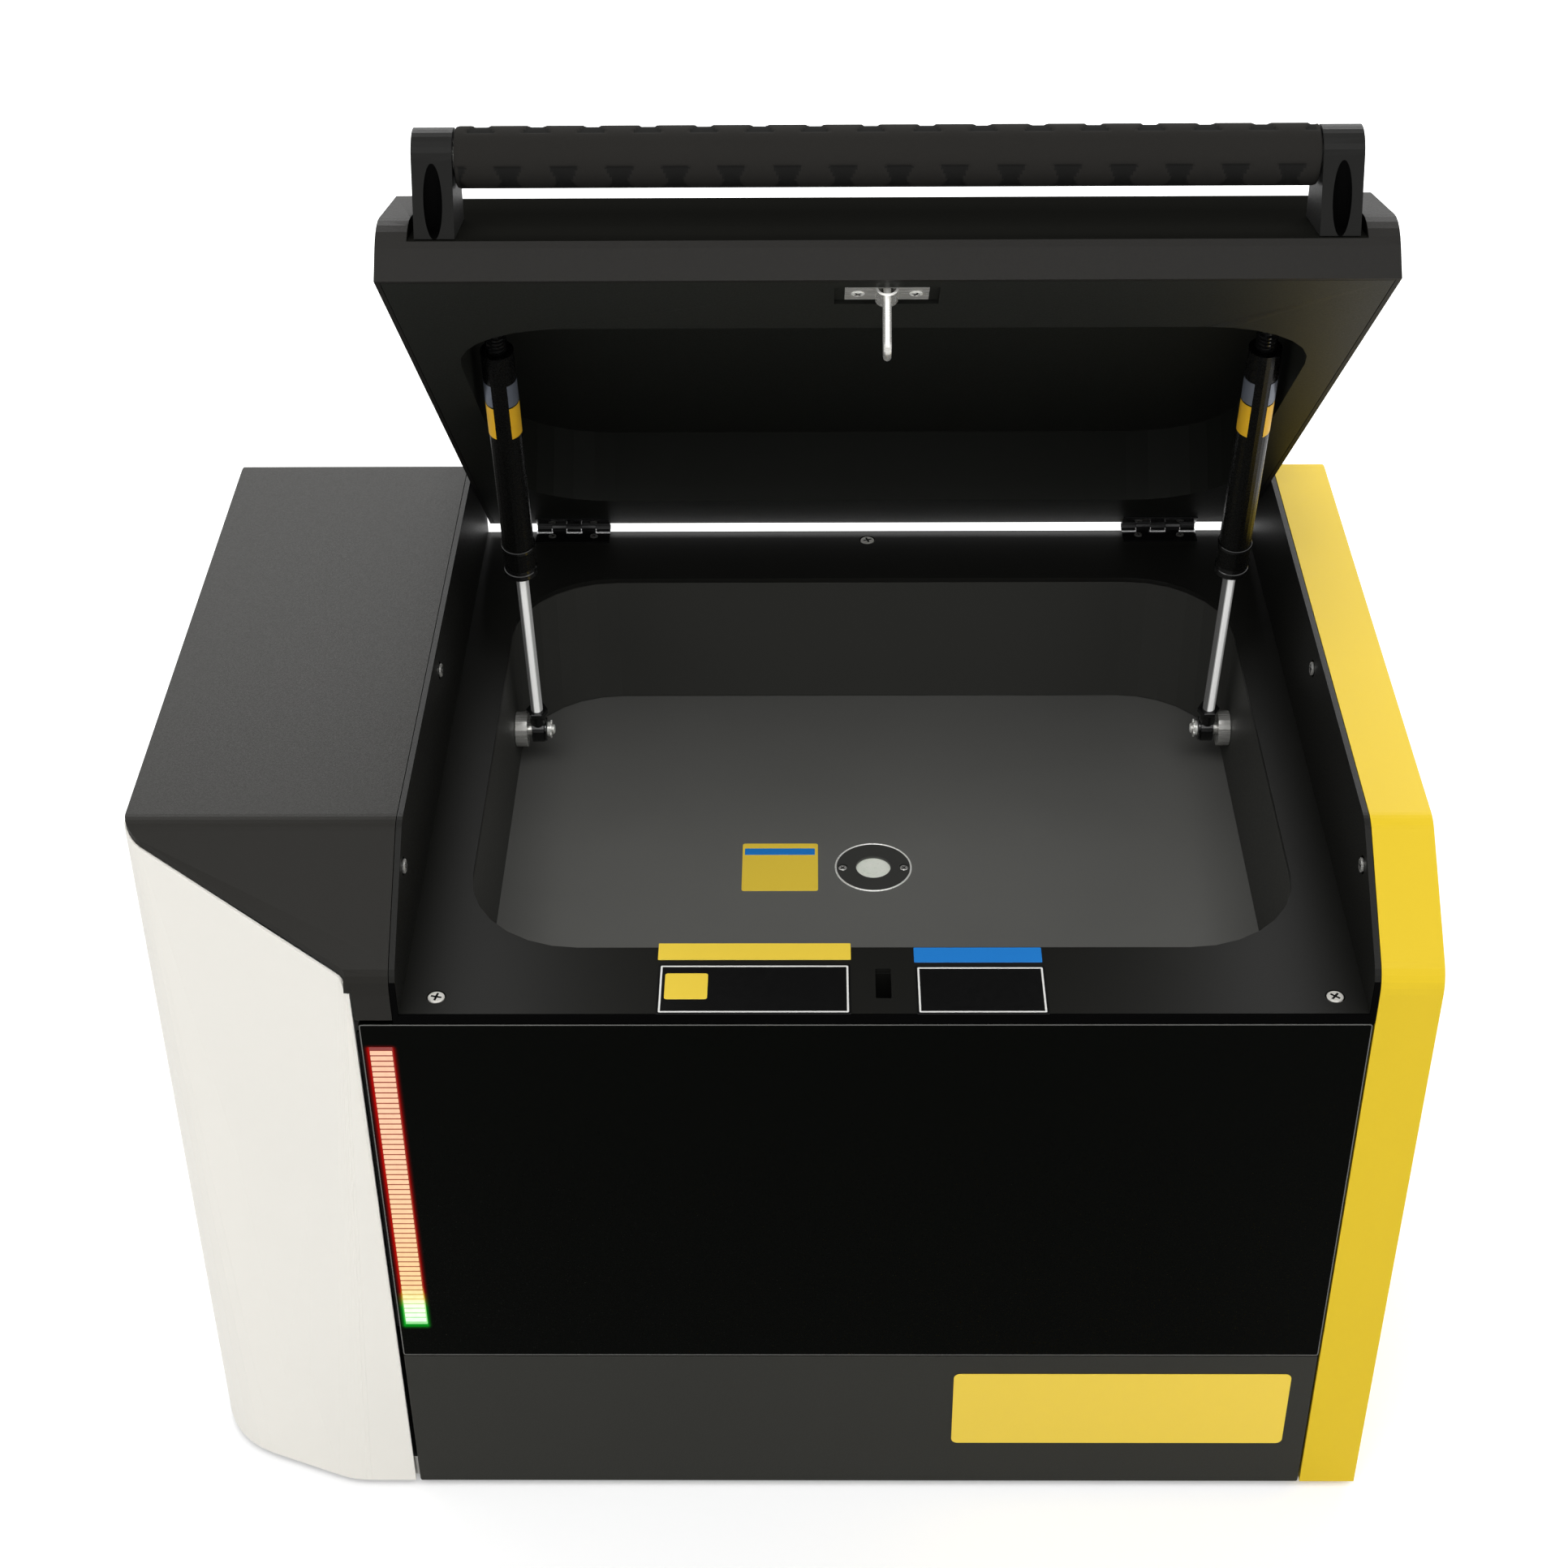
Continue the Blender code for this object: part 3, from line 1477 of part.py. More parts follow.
def make_lid_inner_pan(material):
    inset = lid_wall + clearance
    flange = rectangle(lid_left + inset, lid_right - inset, lid_front + inset, lid_back - inset)
    pan = prism("lid_inner_pan", flange, "Z", lid_bottom, lid_bottom + lid_pan_thickness, material)
    ceiling = lid_bottom + lid_recess_depth
    weld(pan, prism("recess_walls", recess_outline(tub_wall), "Z", lid_bottom + clearance,
                    ceiling + tub_wall))
    boss_y = latch_y - striker_boss_depth / 2
    weld(pan, block("striker_boss",
                    (latch_x - striker_boss_width / 2, boss_y, lid_bottom + clearance),
                    (latch_x + striker_boss_width / 2, boss_y + striker_boss_depth,
                     lid_bottom + striker_boss_height)))
    cut(pan, prism("recess", recess_outline(0), "Z", lid_bottom - overrun, ceiling))
    holes = bmesh.new()
    half_x = striker_plate_width / 2 + striker_pocket_margin
    near_y = latch_y - striker_plate_depth / 2 - clearance
    far_y = latch_y + striker_plate_depth / 2 + striker_pocket_behind
    add_prism(holes, rectangle(latch_x - half_x, latch_x + half_x, near_y, far_y),
              "Z", lid_bottom - overrun, lid_bottom + striker_plate_thickness + clearance)
    cut(pan, add_object("plate_seat", holes, None))
    bores = bmesh.new()
    bore = small_screw_shank + small_hole_play
    deep = lid_bottom - overrun
    for place_x, place_y in striker_screw_places() + hinge_screw_places():
        add_turned(bores, rod_rows(bore, screw_length + 2 * overrun), (place_x, place_y, deep),
                   (0, 0, 1), small_sides)
    for place_x, place_y in striker_leg_places():
        wide = loop_wire_radius + small_hole_play
        add_turned(bores, rod_rows(wide, overrun + 2 * striker_plate_thickness),
                   (place_x, place_y, deep), (0, 0, 1), small_sides)
    for side_x in (chamber_left - tub_wall - overrun, chamber_right - overrun):
        spot = (side_x, strut_high_closed.y, strut_high_closed.z)
        add_turned(bores, rod_rows(bore, tub_wall + 2 * overrun), spot, (1, 0, 0), small_sides)
    return cut(pan, add_object("bores", bores, None))


def make_striker_plate(material):
    low = lid_bottom
    plate = block("striker_plate",
                  (latch_x - striker_plate_width / 2, latch_y - striker_plate_depth / 2, low),
                  (latch_x + striker_plate_width / 2, latch_y + striker_plate_depth / 2,
                   low + striker_plate_thickness), material)
    bores = bmesh.new()
    for place_x, place_y in striker_leg_places():
        add_turned(bores, rod_rows(loop_wire_radius + small_hole_play, 2 * overrun),
                   (place_x, place_y, low - overrun), (0, 0, 1), small_sides)
    for place_x, place_y in striker_screw_places():
        add_turned(bores, rod_rows(small_screw_radius + small_hole_play, 2 * overrun),
                   (place_x, place_y, low - overrun), (0, 0, 1), small_sides)
    return cut(plate, add_object("bores", bores, None))


# The loop: a bent wire, its legs going up through the plate
def make_striker_loop(material):
    (_, near_y), (_, far_y) = striker_leg_places()
    top = lid_bottom + striker_plate_thickness
    low = lid_bottom - loop_length + loop_wire_radius
    bend = loop_wire_radius * 2
    path = [(near_y, top)]
    for step in range(corner_steps + 1):
        angle = math.pi + math.pi / 2 * step / corner_steps
        path.append((near_y + bend + bend * math.cos(angle), low + bend + bend * math.sin(angle)))
    for step in range(corner_steps + 1):
        angle = -math.pi / 2 + math.pi / 2 * step / corner_steps
        path.append((far_y - bend + bend * math.cos(angle), low + bend + bend * math.sin(angle)))
    path.append((far_y, top))
    mesh_data = bmesh.new()
    loops = []
    for place, (place_y, place_z) in enumerate(path):
        before = Vector(path[max(place - 1, 0)])
        after = Vector(path[min(place + 1, len(path) - 1)])
        run = (after - before).normalized()
        outward = Vector((0, run.y, -run.x))
        loop = []
        for step in range(small_sides):
            angle = math.tau * step / small_sides
            spot = Vector((latch_x, place_y, place_z))
            spot += Vector((1, 0, 0)) * loop_wire_radius * math.cos(angle)
            spot += outward * loop_wire_radius * math.sin(angle)
            loop.append(mesh_data.verts.new(spot))
        loops.append(loop)
    for first, second in zip(loops, loops[1:]):
        for step in range(small_sides):
            after = (step + 1) % small_sides
            mesh_data.faces.new([first[step], first[after], second[after], second[step]])
    mesh_data.faces.new(loops[0])
    mesh_data.faces.new(list(reversed(loops[-1])))
    return add_object("striker_loop", mesh_data, material)


# Handle on the lid's front slope
def bracket_starts():
    low = bay_centre - handle_width / 2
    return [low, low + handle_width - bracket_width]


def well_direction():
    lean = math.radians(screw_well_degrees)
    return along_chamfer * math.sin(lean) - off_chamfer * math.cos(lean)


def well_end(place_x):
    return chamfer_point(screw_well_setback, screw_well_floor, place_x)


# Side view of a bracket: a foot that narrows to a round top about the grip
def bracket_outline():
    half = bracket_base_depth / 2
    drop = handle_rise - clearance
    foot_turn = math.atan2(drop, half)
    touch_turn = math.acos(bracket_radius / math.hypot(half, drop))
    start = math.pi + foot_turn - touch_turn
    stop = touch_turn - foot_turn
    points = [(handle_setback - half, clearance)]
    steps = 2 * corner_steps
    for step in range(steps + 1):
        angle = start + (stop - start) * step / steps
        points.append((handle_setback + bracket_radius * math.cos(angle),
                       handle_rise + bracket_radius * math.sin(angle)))
    points.append((handle_setback + half, clearance))
    return points


def make_bracket(name, low_x, material):
    bracket = chamfer_prism(name, bracket_outline(), low_x, low_x + bracket_width, material)
    middle_x = low_x + bracket_width / 2
    start = well_end(middle_x)
    cut(bracket, rod("well", screw_well_radius, start, -well_direction(), screw_well_reach))
    bore_side = middle_x if low_x < bay_centre else low_x - overrun
    spot = chamfer_point(handle_setback, handle_rise, bore_side)
    return cut(bracket, rod("core_bore", core_radius + clearance, spot, (1, 0, 0),
                            bracket_width / 2 + overrun))


def make_handle_core(material):
    start_x = bracket_starts()[0] + bracket_width / 2 + clearance
    stop_x = bracket_starts()[1] + bracket_width / 2 - clearance
    spot = chamfer_point(handle_setback, handle_rise, start_x)
    return rod("handle_core", core_radius, spot, (1, 0, 0), stop_x - start_x, round_sides, material)


def make_handle_grip(material):
    start_x = bracket_starts()[0] + bracket_width + grip_end_gap
    stop_x = bracket_starts()[1] - grip_end_gap
    length = stop_x - start_x
    rows = [
        (grip_radius - grip_edge, 0),
        (grip_radius, grip_edge),
        (grip_radius, length - grip_edge),
        (grip_radius - grip_edge, length),
        (grip_bore_radius, length),
        (grip_bore_radius, 0),
    ]
    spot = chamfer_point(handle_setback, handle_rise, start_x)
    return turned("handle_grip", rows, spot, (1, 0, 0), disc_sides, material, ring=True)


def strut_sides():
    return [("left", strut_left_x, -1), ("right", strut_right_x, 1)]


def make_strut_pad(name, side, material):
    wall_x = chamber_left + clearance if side < 0 else chamber_right - clearance
    start = (wall_x, strut_high_closed.y, strut_high_closed.z)
    return rod(name, lid_pad_radius, start, (-side, 0, 0), lid_pad_width, round_sides, material)


# Hinges
def knuckle_span(start, place):
    pitch = hinge_length / hinge_knuckle_count
    return start + pitch * place + hinge_knuckle_gap / 2, pitch - hinge_knuckle_gap


def knuckle_set(places, start):
    knuckles = bmesh.new()
    for place in places:
        low_x, length = knuckle_span(start, place)
        add_turned(knuckles, rod_rows(hinge_knuckle_radius, length), (low_x, hinge_y, hinge_z),
                   (1, 0, 0), small_sides)
    return add_object("knuckles", knuckles, None)


def make_hinge_leaf(name, start, body_side, material):
    if body_side:
        low_z = seat_height + clearance
        places = range(0, hinge_knuckle_count, 2)
    else:
        low_z = lid_bottom - clearance - hinge_leaf_thickness
        places = range(1, hinge_knuckle_count, 2)
    high_z = low_z + hinge_leaf_thickness
    edge_y = hinge_y - hinge_knuckle_radius - hinge_knuckle_gap
    low_y = hinge_y - hinge_knuckle_radius - hinge_leaf_depth
    outline = [(start, low_y), (start + hinge_length, low_y), (start + hinge_length, edge_y)]
    for place in reversed(places):
        low_x, length = knuckle_span(start, place)
        tab_low = low_x + hinge_tab_inset
        tab_high = low_x + length - hinge_tab_inset
        outline += [(tab_high, edge_y), (tab_high, hinge_y), (tab_low, hinge_y), (tab_low, edge_y)]
    outline.append((start, edge_y))
    leaf = prism(name, outline, "Z", low_z, high_z, material)
    weld(leaf, knuckle_set(places, start))
    spot = Vector((start, hinge_y, hinge_z))
    if body_side:
        weld(leaf, rod("pin", hinge_pin_radius, spot, (1, 0, 0), hinge_length, small_sides))
    else:
        spot.x -= overrun
        cut(leaf, rod("bore", hinge_bore_radius, spot, (1, 0, 0), hinge_length + 2 * overrun,
                      small_sides))
    holes = bmesh.new()
    wide = small_screw_radius + small_hole_play
    for place_x in (start + hinge_screw_inset, start + hinge_length - hinge_screw_inset):
        middle_y = (low_y + hinge_y - hinge_knuckle_radius) / 2
        add_turned(holes, rod_rows(wide, 2 * overrun), (place_x, middle_y, low_z - overrun), (0, 0, 1),
                   small_sides)
    return cut(leaf, add_object("holes", holes, None))


# Gas struts, modelled upright over their lower eye; an empty leans them
def make_strut_stud(name, place_x, side, material):
    wall_x = chamber_left + clearance if side < 0 else chamber_right - clearance
    reach = abs(place_x - wall_x) + strut_eye_width / 2 + stud_pin_past_eye
    rows = [
        (0, 0),
        (stud_disc_radius, 0),
        (stud_disc_radius, stud_disc_width),
        (stud_pin_radius, stud_disc_width),
        (stud_pin_radius, reach),
        (0, reach),
    ]
    start = (wall_x, strut_low.y, strut_low.z)
    return turned(name, rows, start, (-side, 0, 0), round_sides, material)


def make_strut_rod(name, place_x, material):
    low = Vector((place_x, strut_low.y, strut_low.z))
    start = low - Vector((strut_eye_width / 2, 0, 0))
    piece = rod(name, strut_eye_radius, start, (1, 0, 0), strut_eye_width, round_sides, material)
    rows = [(0, 0), (strut_neck_radius, 0), (strut_neck_radius, strut_neck_end),
            (strut_rod_radius, strut_neck_end), (strut_rod_radius, strut_rod_tip), (0, strut_rod_tip)]
    weld(piece, turned("shank", rows, low, (0, 0, 1), small_sides * 2))
    return cut(piece, rod("bore", strut_eye_bore, start - Vector((overrun, 0, 0)), (1, 0, 0),
                          strut_eye_width + 2 * overrun, small_sides * 2))


def make_strut_tube(name, place_x, side, material):
    low = Vector((place_x, strut_low.y, strut_low.z))
    inner_end = strut_tube_end - strut_tube_cap
    mouth = strut_rod_radius + strut_rod_play
    collar_start = strut_tube_start + strut_nose_length
    collar_end = collar_start + strut_collar_length
    rows = [
        (mouth, strut_tube_start),
        (strut_nose_radius, strut_tube_start),
        (strut_collar_radius, collar_start),
        (strut_collar_radius, collar_end),
        (strut_tube_radius, collar_end),
        (strut_tube_radius, strut_tube_end),
        (strut_neck_radius, strut_tube_end),
        (strut_neck_radius, strut_length),
        (0, strut_length),
        (0, inner_end),
        (strut_tube_bore, inner_end),
        (strut_tube_bore, collar_start),
        (mouth, collar_start),
    ]
    piece = turned(name, rows, low, (0, 0, 1), round_sides, material, ring=True)
    wall_x = chamber_left + clearance if side < 0 else chamber_right - clearance
    pad_x = wall_x - side * (lid_pad_width + clearance)
    eye_start = low + Vector((-side * strut_eye_width / 2, 0, strut_length))
    weld(piece, rod("eye", strut_eye_radius, eye_start, (side, 0, 0), strut_eye_width, round_sides))
    pin_start = low + Vector((-side * (strut_eye_width / 2 + washer_thickness), 0, strut_length))
    pin_length = abs(pad_x - pin_start.x)
    weld(piece, rod("pin", stud_pin_radius, pin_start, (side, 0, 0), pin_length, small_sides * 2))
    return piece


def build():
    clear_scene()
    dark = make_material("dark_grey_paint", (0.070, 0.070, 0.065), 0.45)
    satin = make_material("black_satin_paint", (0.012, 0.012, 0.012), 0.35)
    grey = make_material("grey_paint", (0.045, 0.047, 0.047), 0.5)
    white = make_material("white_cover_paint", (0.86, 0.85, 0.80), 0.4)
    yellow = make_material("yellow_cover_paint", (0.80, 0.60, 0.045), 0.35)
    glass = make_material("black_glass", (0.004, 0.004, 0.004), 0.05)
    light = make_material("light_bar_diffuser", (0.9, 0.25, 0.10), 0.4)
    steel = make_material("bright_steel", (0.62, 0.62, 0.60), 0.25, 1.0)
    chrome = make_material("chrome_rod", (0.80, 0.80, 0.80), 0.12, 1.0)
    rubber = make_material("black_rubber", (0.022, 0.021, 0.020), 0.8)
    plastic = make_material("black_plastic", (0.015, 0.015, 0.015), 0.4)
    zinc = make_material("zinc_sheet", (0.50, 0.50, 0.48), 0.4, 1.0)
    case = make_material("module_case", (0.60, 0.60, 0.60), 0.4, 1.0)
    blackened = make_material("blackened_steel", (0.020, 0.020, 0.020), 0.25, 0.5)
    film = make_material("window_film", (0.55, 0.60, 0.50), 0.3)
    board = make_material("circuit_board", (0.02, 0.12, 0.04), 0.5)
    brass = make_material("brass", (0.60, 0.42, 0.16), 0.3, 1.0)
    lead_grey = make_material("cast_grey", (0.25, 0.25, 0.25), 0.5, 0.6)

    make_base_pan(zinc)
    make_rubber_feet(rubber)
    make_left_top_cover(dark)
    make_left_side_cover(white)
    make_right_side_cover(yellow)
    make_bay_liner(satin)
    make_chamber_tub(satin)
    make_chamber_floor(grey)
    make_window_ring(blackened)
    make_window_film(film)
    make_front_glass(glass)
    make_led_light_bar(light)
    make_led_board(board)
    make_display_module(case)
    make_lower_front_panel(dark)
    make_rear_panel(dark)
    make_power_inlet(plastic)
    make_rocker_frame(plastic)
    make_fan_frame(plastic)
    make_fan_guard(steel)
    make_optics_block(brass)
    make_xray_tube(lead_grey)
    make_filter_motor(steel)
    make_source_clamp(zinc)
    make_detector(steel)
    make_detector_clamp(zinc)
    make_optics_stand(zinc)
    make_power_supply(case)
    make_high_voltage_supply(case)
    make_main_board(board)
    make_board_tray(zinc)
    make_lock_housing(plastic)
    make_lock_solenoid(steel)
    for side_name, start in zip(("left", "right"), hinge_starts()):
        make_hinge_leaf("hinge_body_leaf_" + side_name, start, True, blackened)
    for side_name, place_x, side in strut_sides():
        make_strut_stud("strut_stud_" + side_name, place_x, side, steel)

    lid_pivot = make_pivot("lid_axis", hinge_point, -lid_open_degrees)
    shut = Matrix.Translation(hinge_point)
    lid_pieces = [
        make_lid_shell(satin),
        make_lid_inner_pan(satin),
        make_bracket("handle_bracket_left", bracket_starts()[0], plastic),
        make_bracket("handle_bracket_right", bracket_starts()[1], plastic),
        make_handle_core(steel),
        make_handle_grip(rubber),
        make_striker_plate(steel),
        make_striker_loop(steel),
    ]
    for side_name, place_x, side in strut_sides():
        lid_pieces.append(make_strut_pad("lid_strut_pad_" + side_name, side, steel))
    for side_name, start in zip(("left", "right"), hinge_starts()):
        lid_pieces.append(make_hinge_leaf("hinge_lid_leaf_" + side_name, start, False, blackened))
    for piece in lid_pieces:
        hang(piece, lid_pivot, shut)

    reach = strut_high - strut_low
    lean_degrees = math.degrees(math.atan2(-reach.y, reach.z))
    for side_name, place_x, side in strut_sides():
        low = Vector((place_x, strut_low.y, strut_low.z))
        pivot = make_pivot("strut_axis_" + side_name, low, lean_degrees)
        upright = Matrix.Translation(low)
        hang(make_strut_rod("strut_rod_" + side_name, place_x, chrome), pivot, upright)
        hang(make_strut_tube("strut_tube_" + side_name, place_x, side, plastic), pivot, upright)

    rocker_spot = rocker_pivot_place()
    rocker_pivot = make_pivot("rocker_axis", rocker_spot, 0)
    rocker_pivot.rotation_euler = (0, 0, -math.radians(rocker_lean_degrees))
    hang(make_power_rocker(plastic), rocker_pivot, Matrix.Translation(rocker_spot))

    fan_spot = Vector((fan_x, fan_inner(), fan_z))
    fan_pivot = make_pivot("fan_axis", fan_spot, 0)
    hang(make_fan_rotor(plastic), fan_pivot, Matrix.Translation(fan_spot))

    wheel_pivot = make_pivot("wheel_axis", wheel_centre(), 0)
    hang(make_filter_wheel(brass), wheel_pivot, Matrix.Translation(wheel_centre()))

    bolt_spot = Vector((latch_x, latch_y, tub_top - lock_bolt_drop))
    bolt_pivot = make_pivot("bolt_axis", bolt_spot, 0)
    hang(make_lock_bolt(steel), bolt_pivot, Matrix.Translation(bolt_spot))


build()
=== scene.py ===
import json
import math

import bmesh
import bpy
from mathutils import Matrix, Vector


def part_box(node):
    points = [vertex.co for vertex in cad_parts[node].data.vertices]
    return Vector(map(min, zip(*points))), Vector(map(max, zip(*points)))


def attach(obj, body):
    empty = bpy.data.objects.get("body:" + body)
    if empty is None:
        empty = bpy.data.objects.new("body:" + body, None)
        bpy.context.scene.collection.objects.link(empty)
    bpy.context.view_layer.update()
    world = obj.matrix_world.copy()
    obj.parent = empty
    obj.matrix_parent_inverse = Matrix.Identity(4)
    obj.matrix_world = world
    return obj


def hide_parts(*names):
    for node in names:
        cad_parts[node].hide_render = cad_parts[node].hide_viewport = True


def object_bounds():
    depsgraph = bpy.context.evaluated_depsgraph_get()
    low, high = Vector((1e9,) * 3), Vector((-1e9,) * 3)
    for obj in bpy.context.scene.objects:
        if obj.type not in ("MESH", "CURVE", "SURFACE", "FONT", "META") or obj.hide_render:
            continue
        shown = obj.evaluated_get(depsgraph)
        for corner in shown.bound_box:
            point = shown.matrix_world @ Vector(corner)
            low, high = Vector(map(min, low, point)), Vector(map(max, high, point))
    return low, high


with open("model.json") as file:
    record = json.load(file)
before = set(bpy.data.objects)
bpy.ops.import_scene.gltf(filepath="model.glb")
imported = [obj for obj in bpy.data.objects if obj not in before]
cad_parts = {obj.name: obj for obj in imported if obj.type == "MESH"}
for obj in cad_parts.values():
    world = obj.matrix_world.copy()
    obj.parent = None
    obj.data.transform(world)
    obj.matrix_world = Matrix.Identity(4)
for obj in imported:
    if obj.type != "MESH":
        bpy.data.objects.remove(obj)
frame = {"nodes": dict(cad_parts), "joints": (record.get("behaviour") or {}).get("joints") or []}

cad_low, cad_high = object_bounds()

# The bay: its liner's inner walls, its seat, the chamber's floor and the front plane, in metres
LINER_WALL = 0.0025
SEAT_OVER_LINER = 0.0045
liner_low, liner_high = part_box("bay_liner")
BAY_LEFT = liner_low.x + LINER_WALL
BAY_RIGHT = liner_high.x - LINER_WALL
BAY_MIDDLE = (BAY_LEFT + BAY_RIGHT) / 2
SEAT = liner_low.z + SEAT_OVER_LINER
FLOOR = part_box("chamber_floor")[1].z
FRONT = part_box("front_glass")[0].y
WINDOW_X, WINDOW_Y = 0.0453, -0.0024

# The lid stands open, so its pieces are built shut and then turned
joints = {joint["name"]: joint for joint in frame["joints"]}
hinge = Vector(joints["lid_hinge"]["pos_m"])
open_turn = Matrix.Rotation(-math.radians(joints["lid_hinge"]["range_deg"][1]), 4, "X")
OPENED = Matrix.Translation(hinge) @ open_turn @ Matrix.Translation(-hinge)
STRIKER_X, STRIKER_Y = 0.0453, -0.1745
STRIKER_FACE = 0.3017

# The struts' pivots, with each strut's X and the way to its side wall
STRUT_LOW = Vector((0, *joints["left_strut_swing"]["pos_m"][1:]))
STRUT_HIGH = Vector((0, 0.02913, 0.50567))
STRUT_SIDES = (("left", joints["left_strut_swing"]["pos_m"][0], -1),
               ("right", joints["right_strut_swing"]["pos_m"][0], 1))

# The light bar's lit part, a little inside its strip
bar_low, bar_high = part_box("led_light_bar")
LIGHT_LOW, LIGHT_HIGH = bar_low.z + 0.0003, bar_high.z - 0.0006
BAR_MIDDLE, BAR_HALF = (bar_low.x + bar_high.x) / 2, (bar_high.x - bar_low.x) / 2 - 0.0001
GLOW_REACH = 0.0034
GREEN_END, RED_START = LIGHT_LOW + 0.012, LIGHT_LOW + 0.022

# The lid's front slope when shut: a point of the pocket's edge, the way up the slope and the way
# out of it. Then the pocket's end walls, the brackets' screw wells and the liner's front lip, which
# bound the painted shade
POCKET_EDGE = Vector((0.0448, -0.1904, 0.318184))
SLOPE = Vector((0, 0.824251, 0.566225))
OFF_SLOPE = Vector((0, -0.566225, 0.824251))
POCKET_END = 0.0124
POCKET_SLACK = 0.0002
WELL_UP_SLOPE, WELL_OFF_SLOPE = 0.0051, 0.0011
WELL_LEAN = math.radians(5)
WELL_RADIUS = 0.00370
LIP_BEHIND_FRONT = 0.0012


# Materials
def linear(red, green, blue):
    """A colour as seen on a screen, 0 to 255, as a linear colour."""
    out = []
    for value in (red, green, blue):
        share = value / 255
        out.append(share / 12.92 if share <= 0.04045 else ((share + 0.055) / 1.055) ** 2.4)
    return out


def new_material(name):
    made = bpy.data.materials.new(name)
    made.use_nodes = True
    return made, made.node_tree.nodes, made.node_tree.links, made.node_tree.nodes["Principled BSDF"]


def noise_node(nodes, links, scale, stretch=(1, 1, 1), detail=3.0):
    place = nodes.new("ShaderNodeTexCoord")
    mapping = nodes.new("ShaderNodeMapping")
    mapping.inputs["Scale"].default_value = stretch
    links.new(place.outputs["Object"], mapping.inputs["Vector"])
    noise = nodes.new("ShaderNodeTexNoise")
    noise.inputs["Scale"].default_value = scale
    noise.inputs["Detail"].default_value = detail
    links.new(mapping.outputs["Vector"], noise.inputs["Vector"])
    return noise.outputs["Fac"]


def spread(nodes, links, source, low, high, start=0.3, end=0.7):
    ranged = nodes.new("ShaderNodeMapRange")
    ranged.inputs["From Min"].default_value = start
    ranged.inputs["From Max"].default_value = end
    ranged.inputs["To Min"].default_value = low
    ranged.inputs["To Max"].default_value = high
    links.new(source, ranged.inputs["Value"])
    return ranged.outputs["Result"]


def blend_colours(nodes, links, factor, first, second):
    mix = nodes.new("ShaderNodeMix")
    mix.data_type = "RGBA"
    links.new(factor, mix.inputs["Factor"])
    mix.inputs["A"].default_value = (*first, 1)
    mix.inputs["B"].default_value = (*second, 1)
    return mix.outputs["Result"]


def surface(name, colour, rough, metal=0.0, specular=0.5, uneven=0.10, cloud=6.0, grain=900.0,
            bump=0.0, stretch=(1, 1, 1), rough_uneven=0.05, patch=None):
    """A finish with slow changes of shade, a fine grain in its gloss and, with bump, a fine relief.
    A patch is painted shade: a second, darker colour with no gloss, and the maker of the mask that it
    covers."""
    made, nodes, links, shader = new_material(name)
    tone = noise_node(nodes, links, cloud)
    darker = [value * (1 - uneven) for value in colour]
    lighter = [min(value * (1 + uneven), 1) for value in colour]
    shade = blend_colours(nodes, links, tone, darker, lighter)
    if patch:
        over = nodes.new("ShaderNodeMix")
        over.data_type = "RGBA"
        mask = patch[1](nodes, links)
        links.new(mask, over.inputs["Factor"])
        links.new(spread(nodes, links, mask, specular, 0, 0, 1), shader.inputs["Specular IOR Level"])
        links.new(shade, over.inputs["A"])
        over.inputs["B"].default_value = (*patch[0], 1)
        shade = over.outputs["Result"]
    links.new(shade, shader.inputs["Base Color"])
    fine = noise_node(nodes, links, grain, stretch)
    gloss = spread(nodes, links, fine, max(rough - rough_uneven, 0.02), rough + rough_uneven)
    links.new(gloss, shader.inputs["Roughness"])
    shader.inputs["Metallic"].default_value = metal
    shader.inputs["Specular IOR Level"].default_value = specular
    if bump:
        relief = nodes.new("ShaderNodeBump")
        relief.inputs["Strength"].default_value = bump
        relief.inputs["Distance"].default_value = 0.0004
        links.new(fine, relief.inputs["Height"])
        links.new(relief.outputs["Normal"], shader.inputs["Normal"])
    return made


def calculate(nodes, links, operation, first, second=None):
    """One sum on a socket, with a number or another socket."""
    sum_node = nodes.new("ShaderNodeMath")
    sum_node.operation = operation
    links.new(first, sum_node.inputs[0])
    if isinstance(second, (int, float)):
        sum_node.inputs[1].default_value = second
    elif second:
        links.new(second, sum_node.inputs[1])
    return sum_node.outputs[0]


def height_over(nodes, links, node, point, normal):
    """How far a place on a node lies above a plane."""
    matrix = node.matrix_world
    place = nodes.new("ShaderNodeTexCoord")
    dot = nodes.new("ShaderNodeVectorMath")
    dot.operation = "DOT_PRODUCT"
    links.new(place.outputs["Object"], dot.inputs[0])
    dot.inputs[1].default_value = matrix.to_3x3().transposed() @ Vector(normal)
    shift = (matrix.translation - Vector(point)).dot(Vector(normal))
    return calculate(nodes, links, "ADD", dot.outputs["Value"], shift)


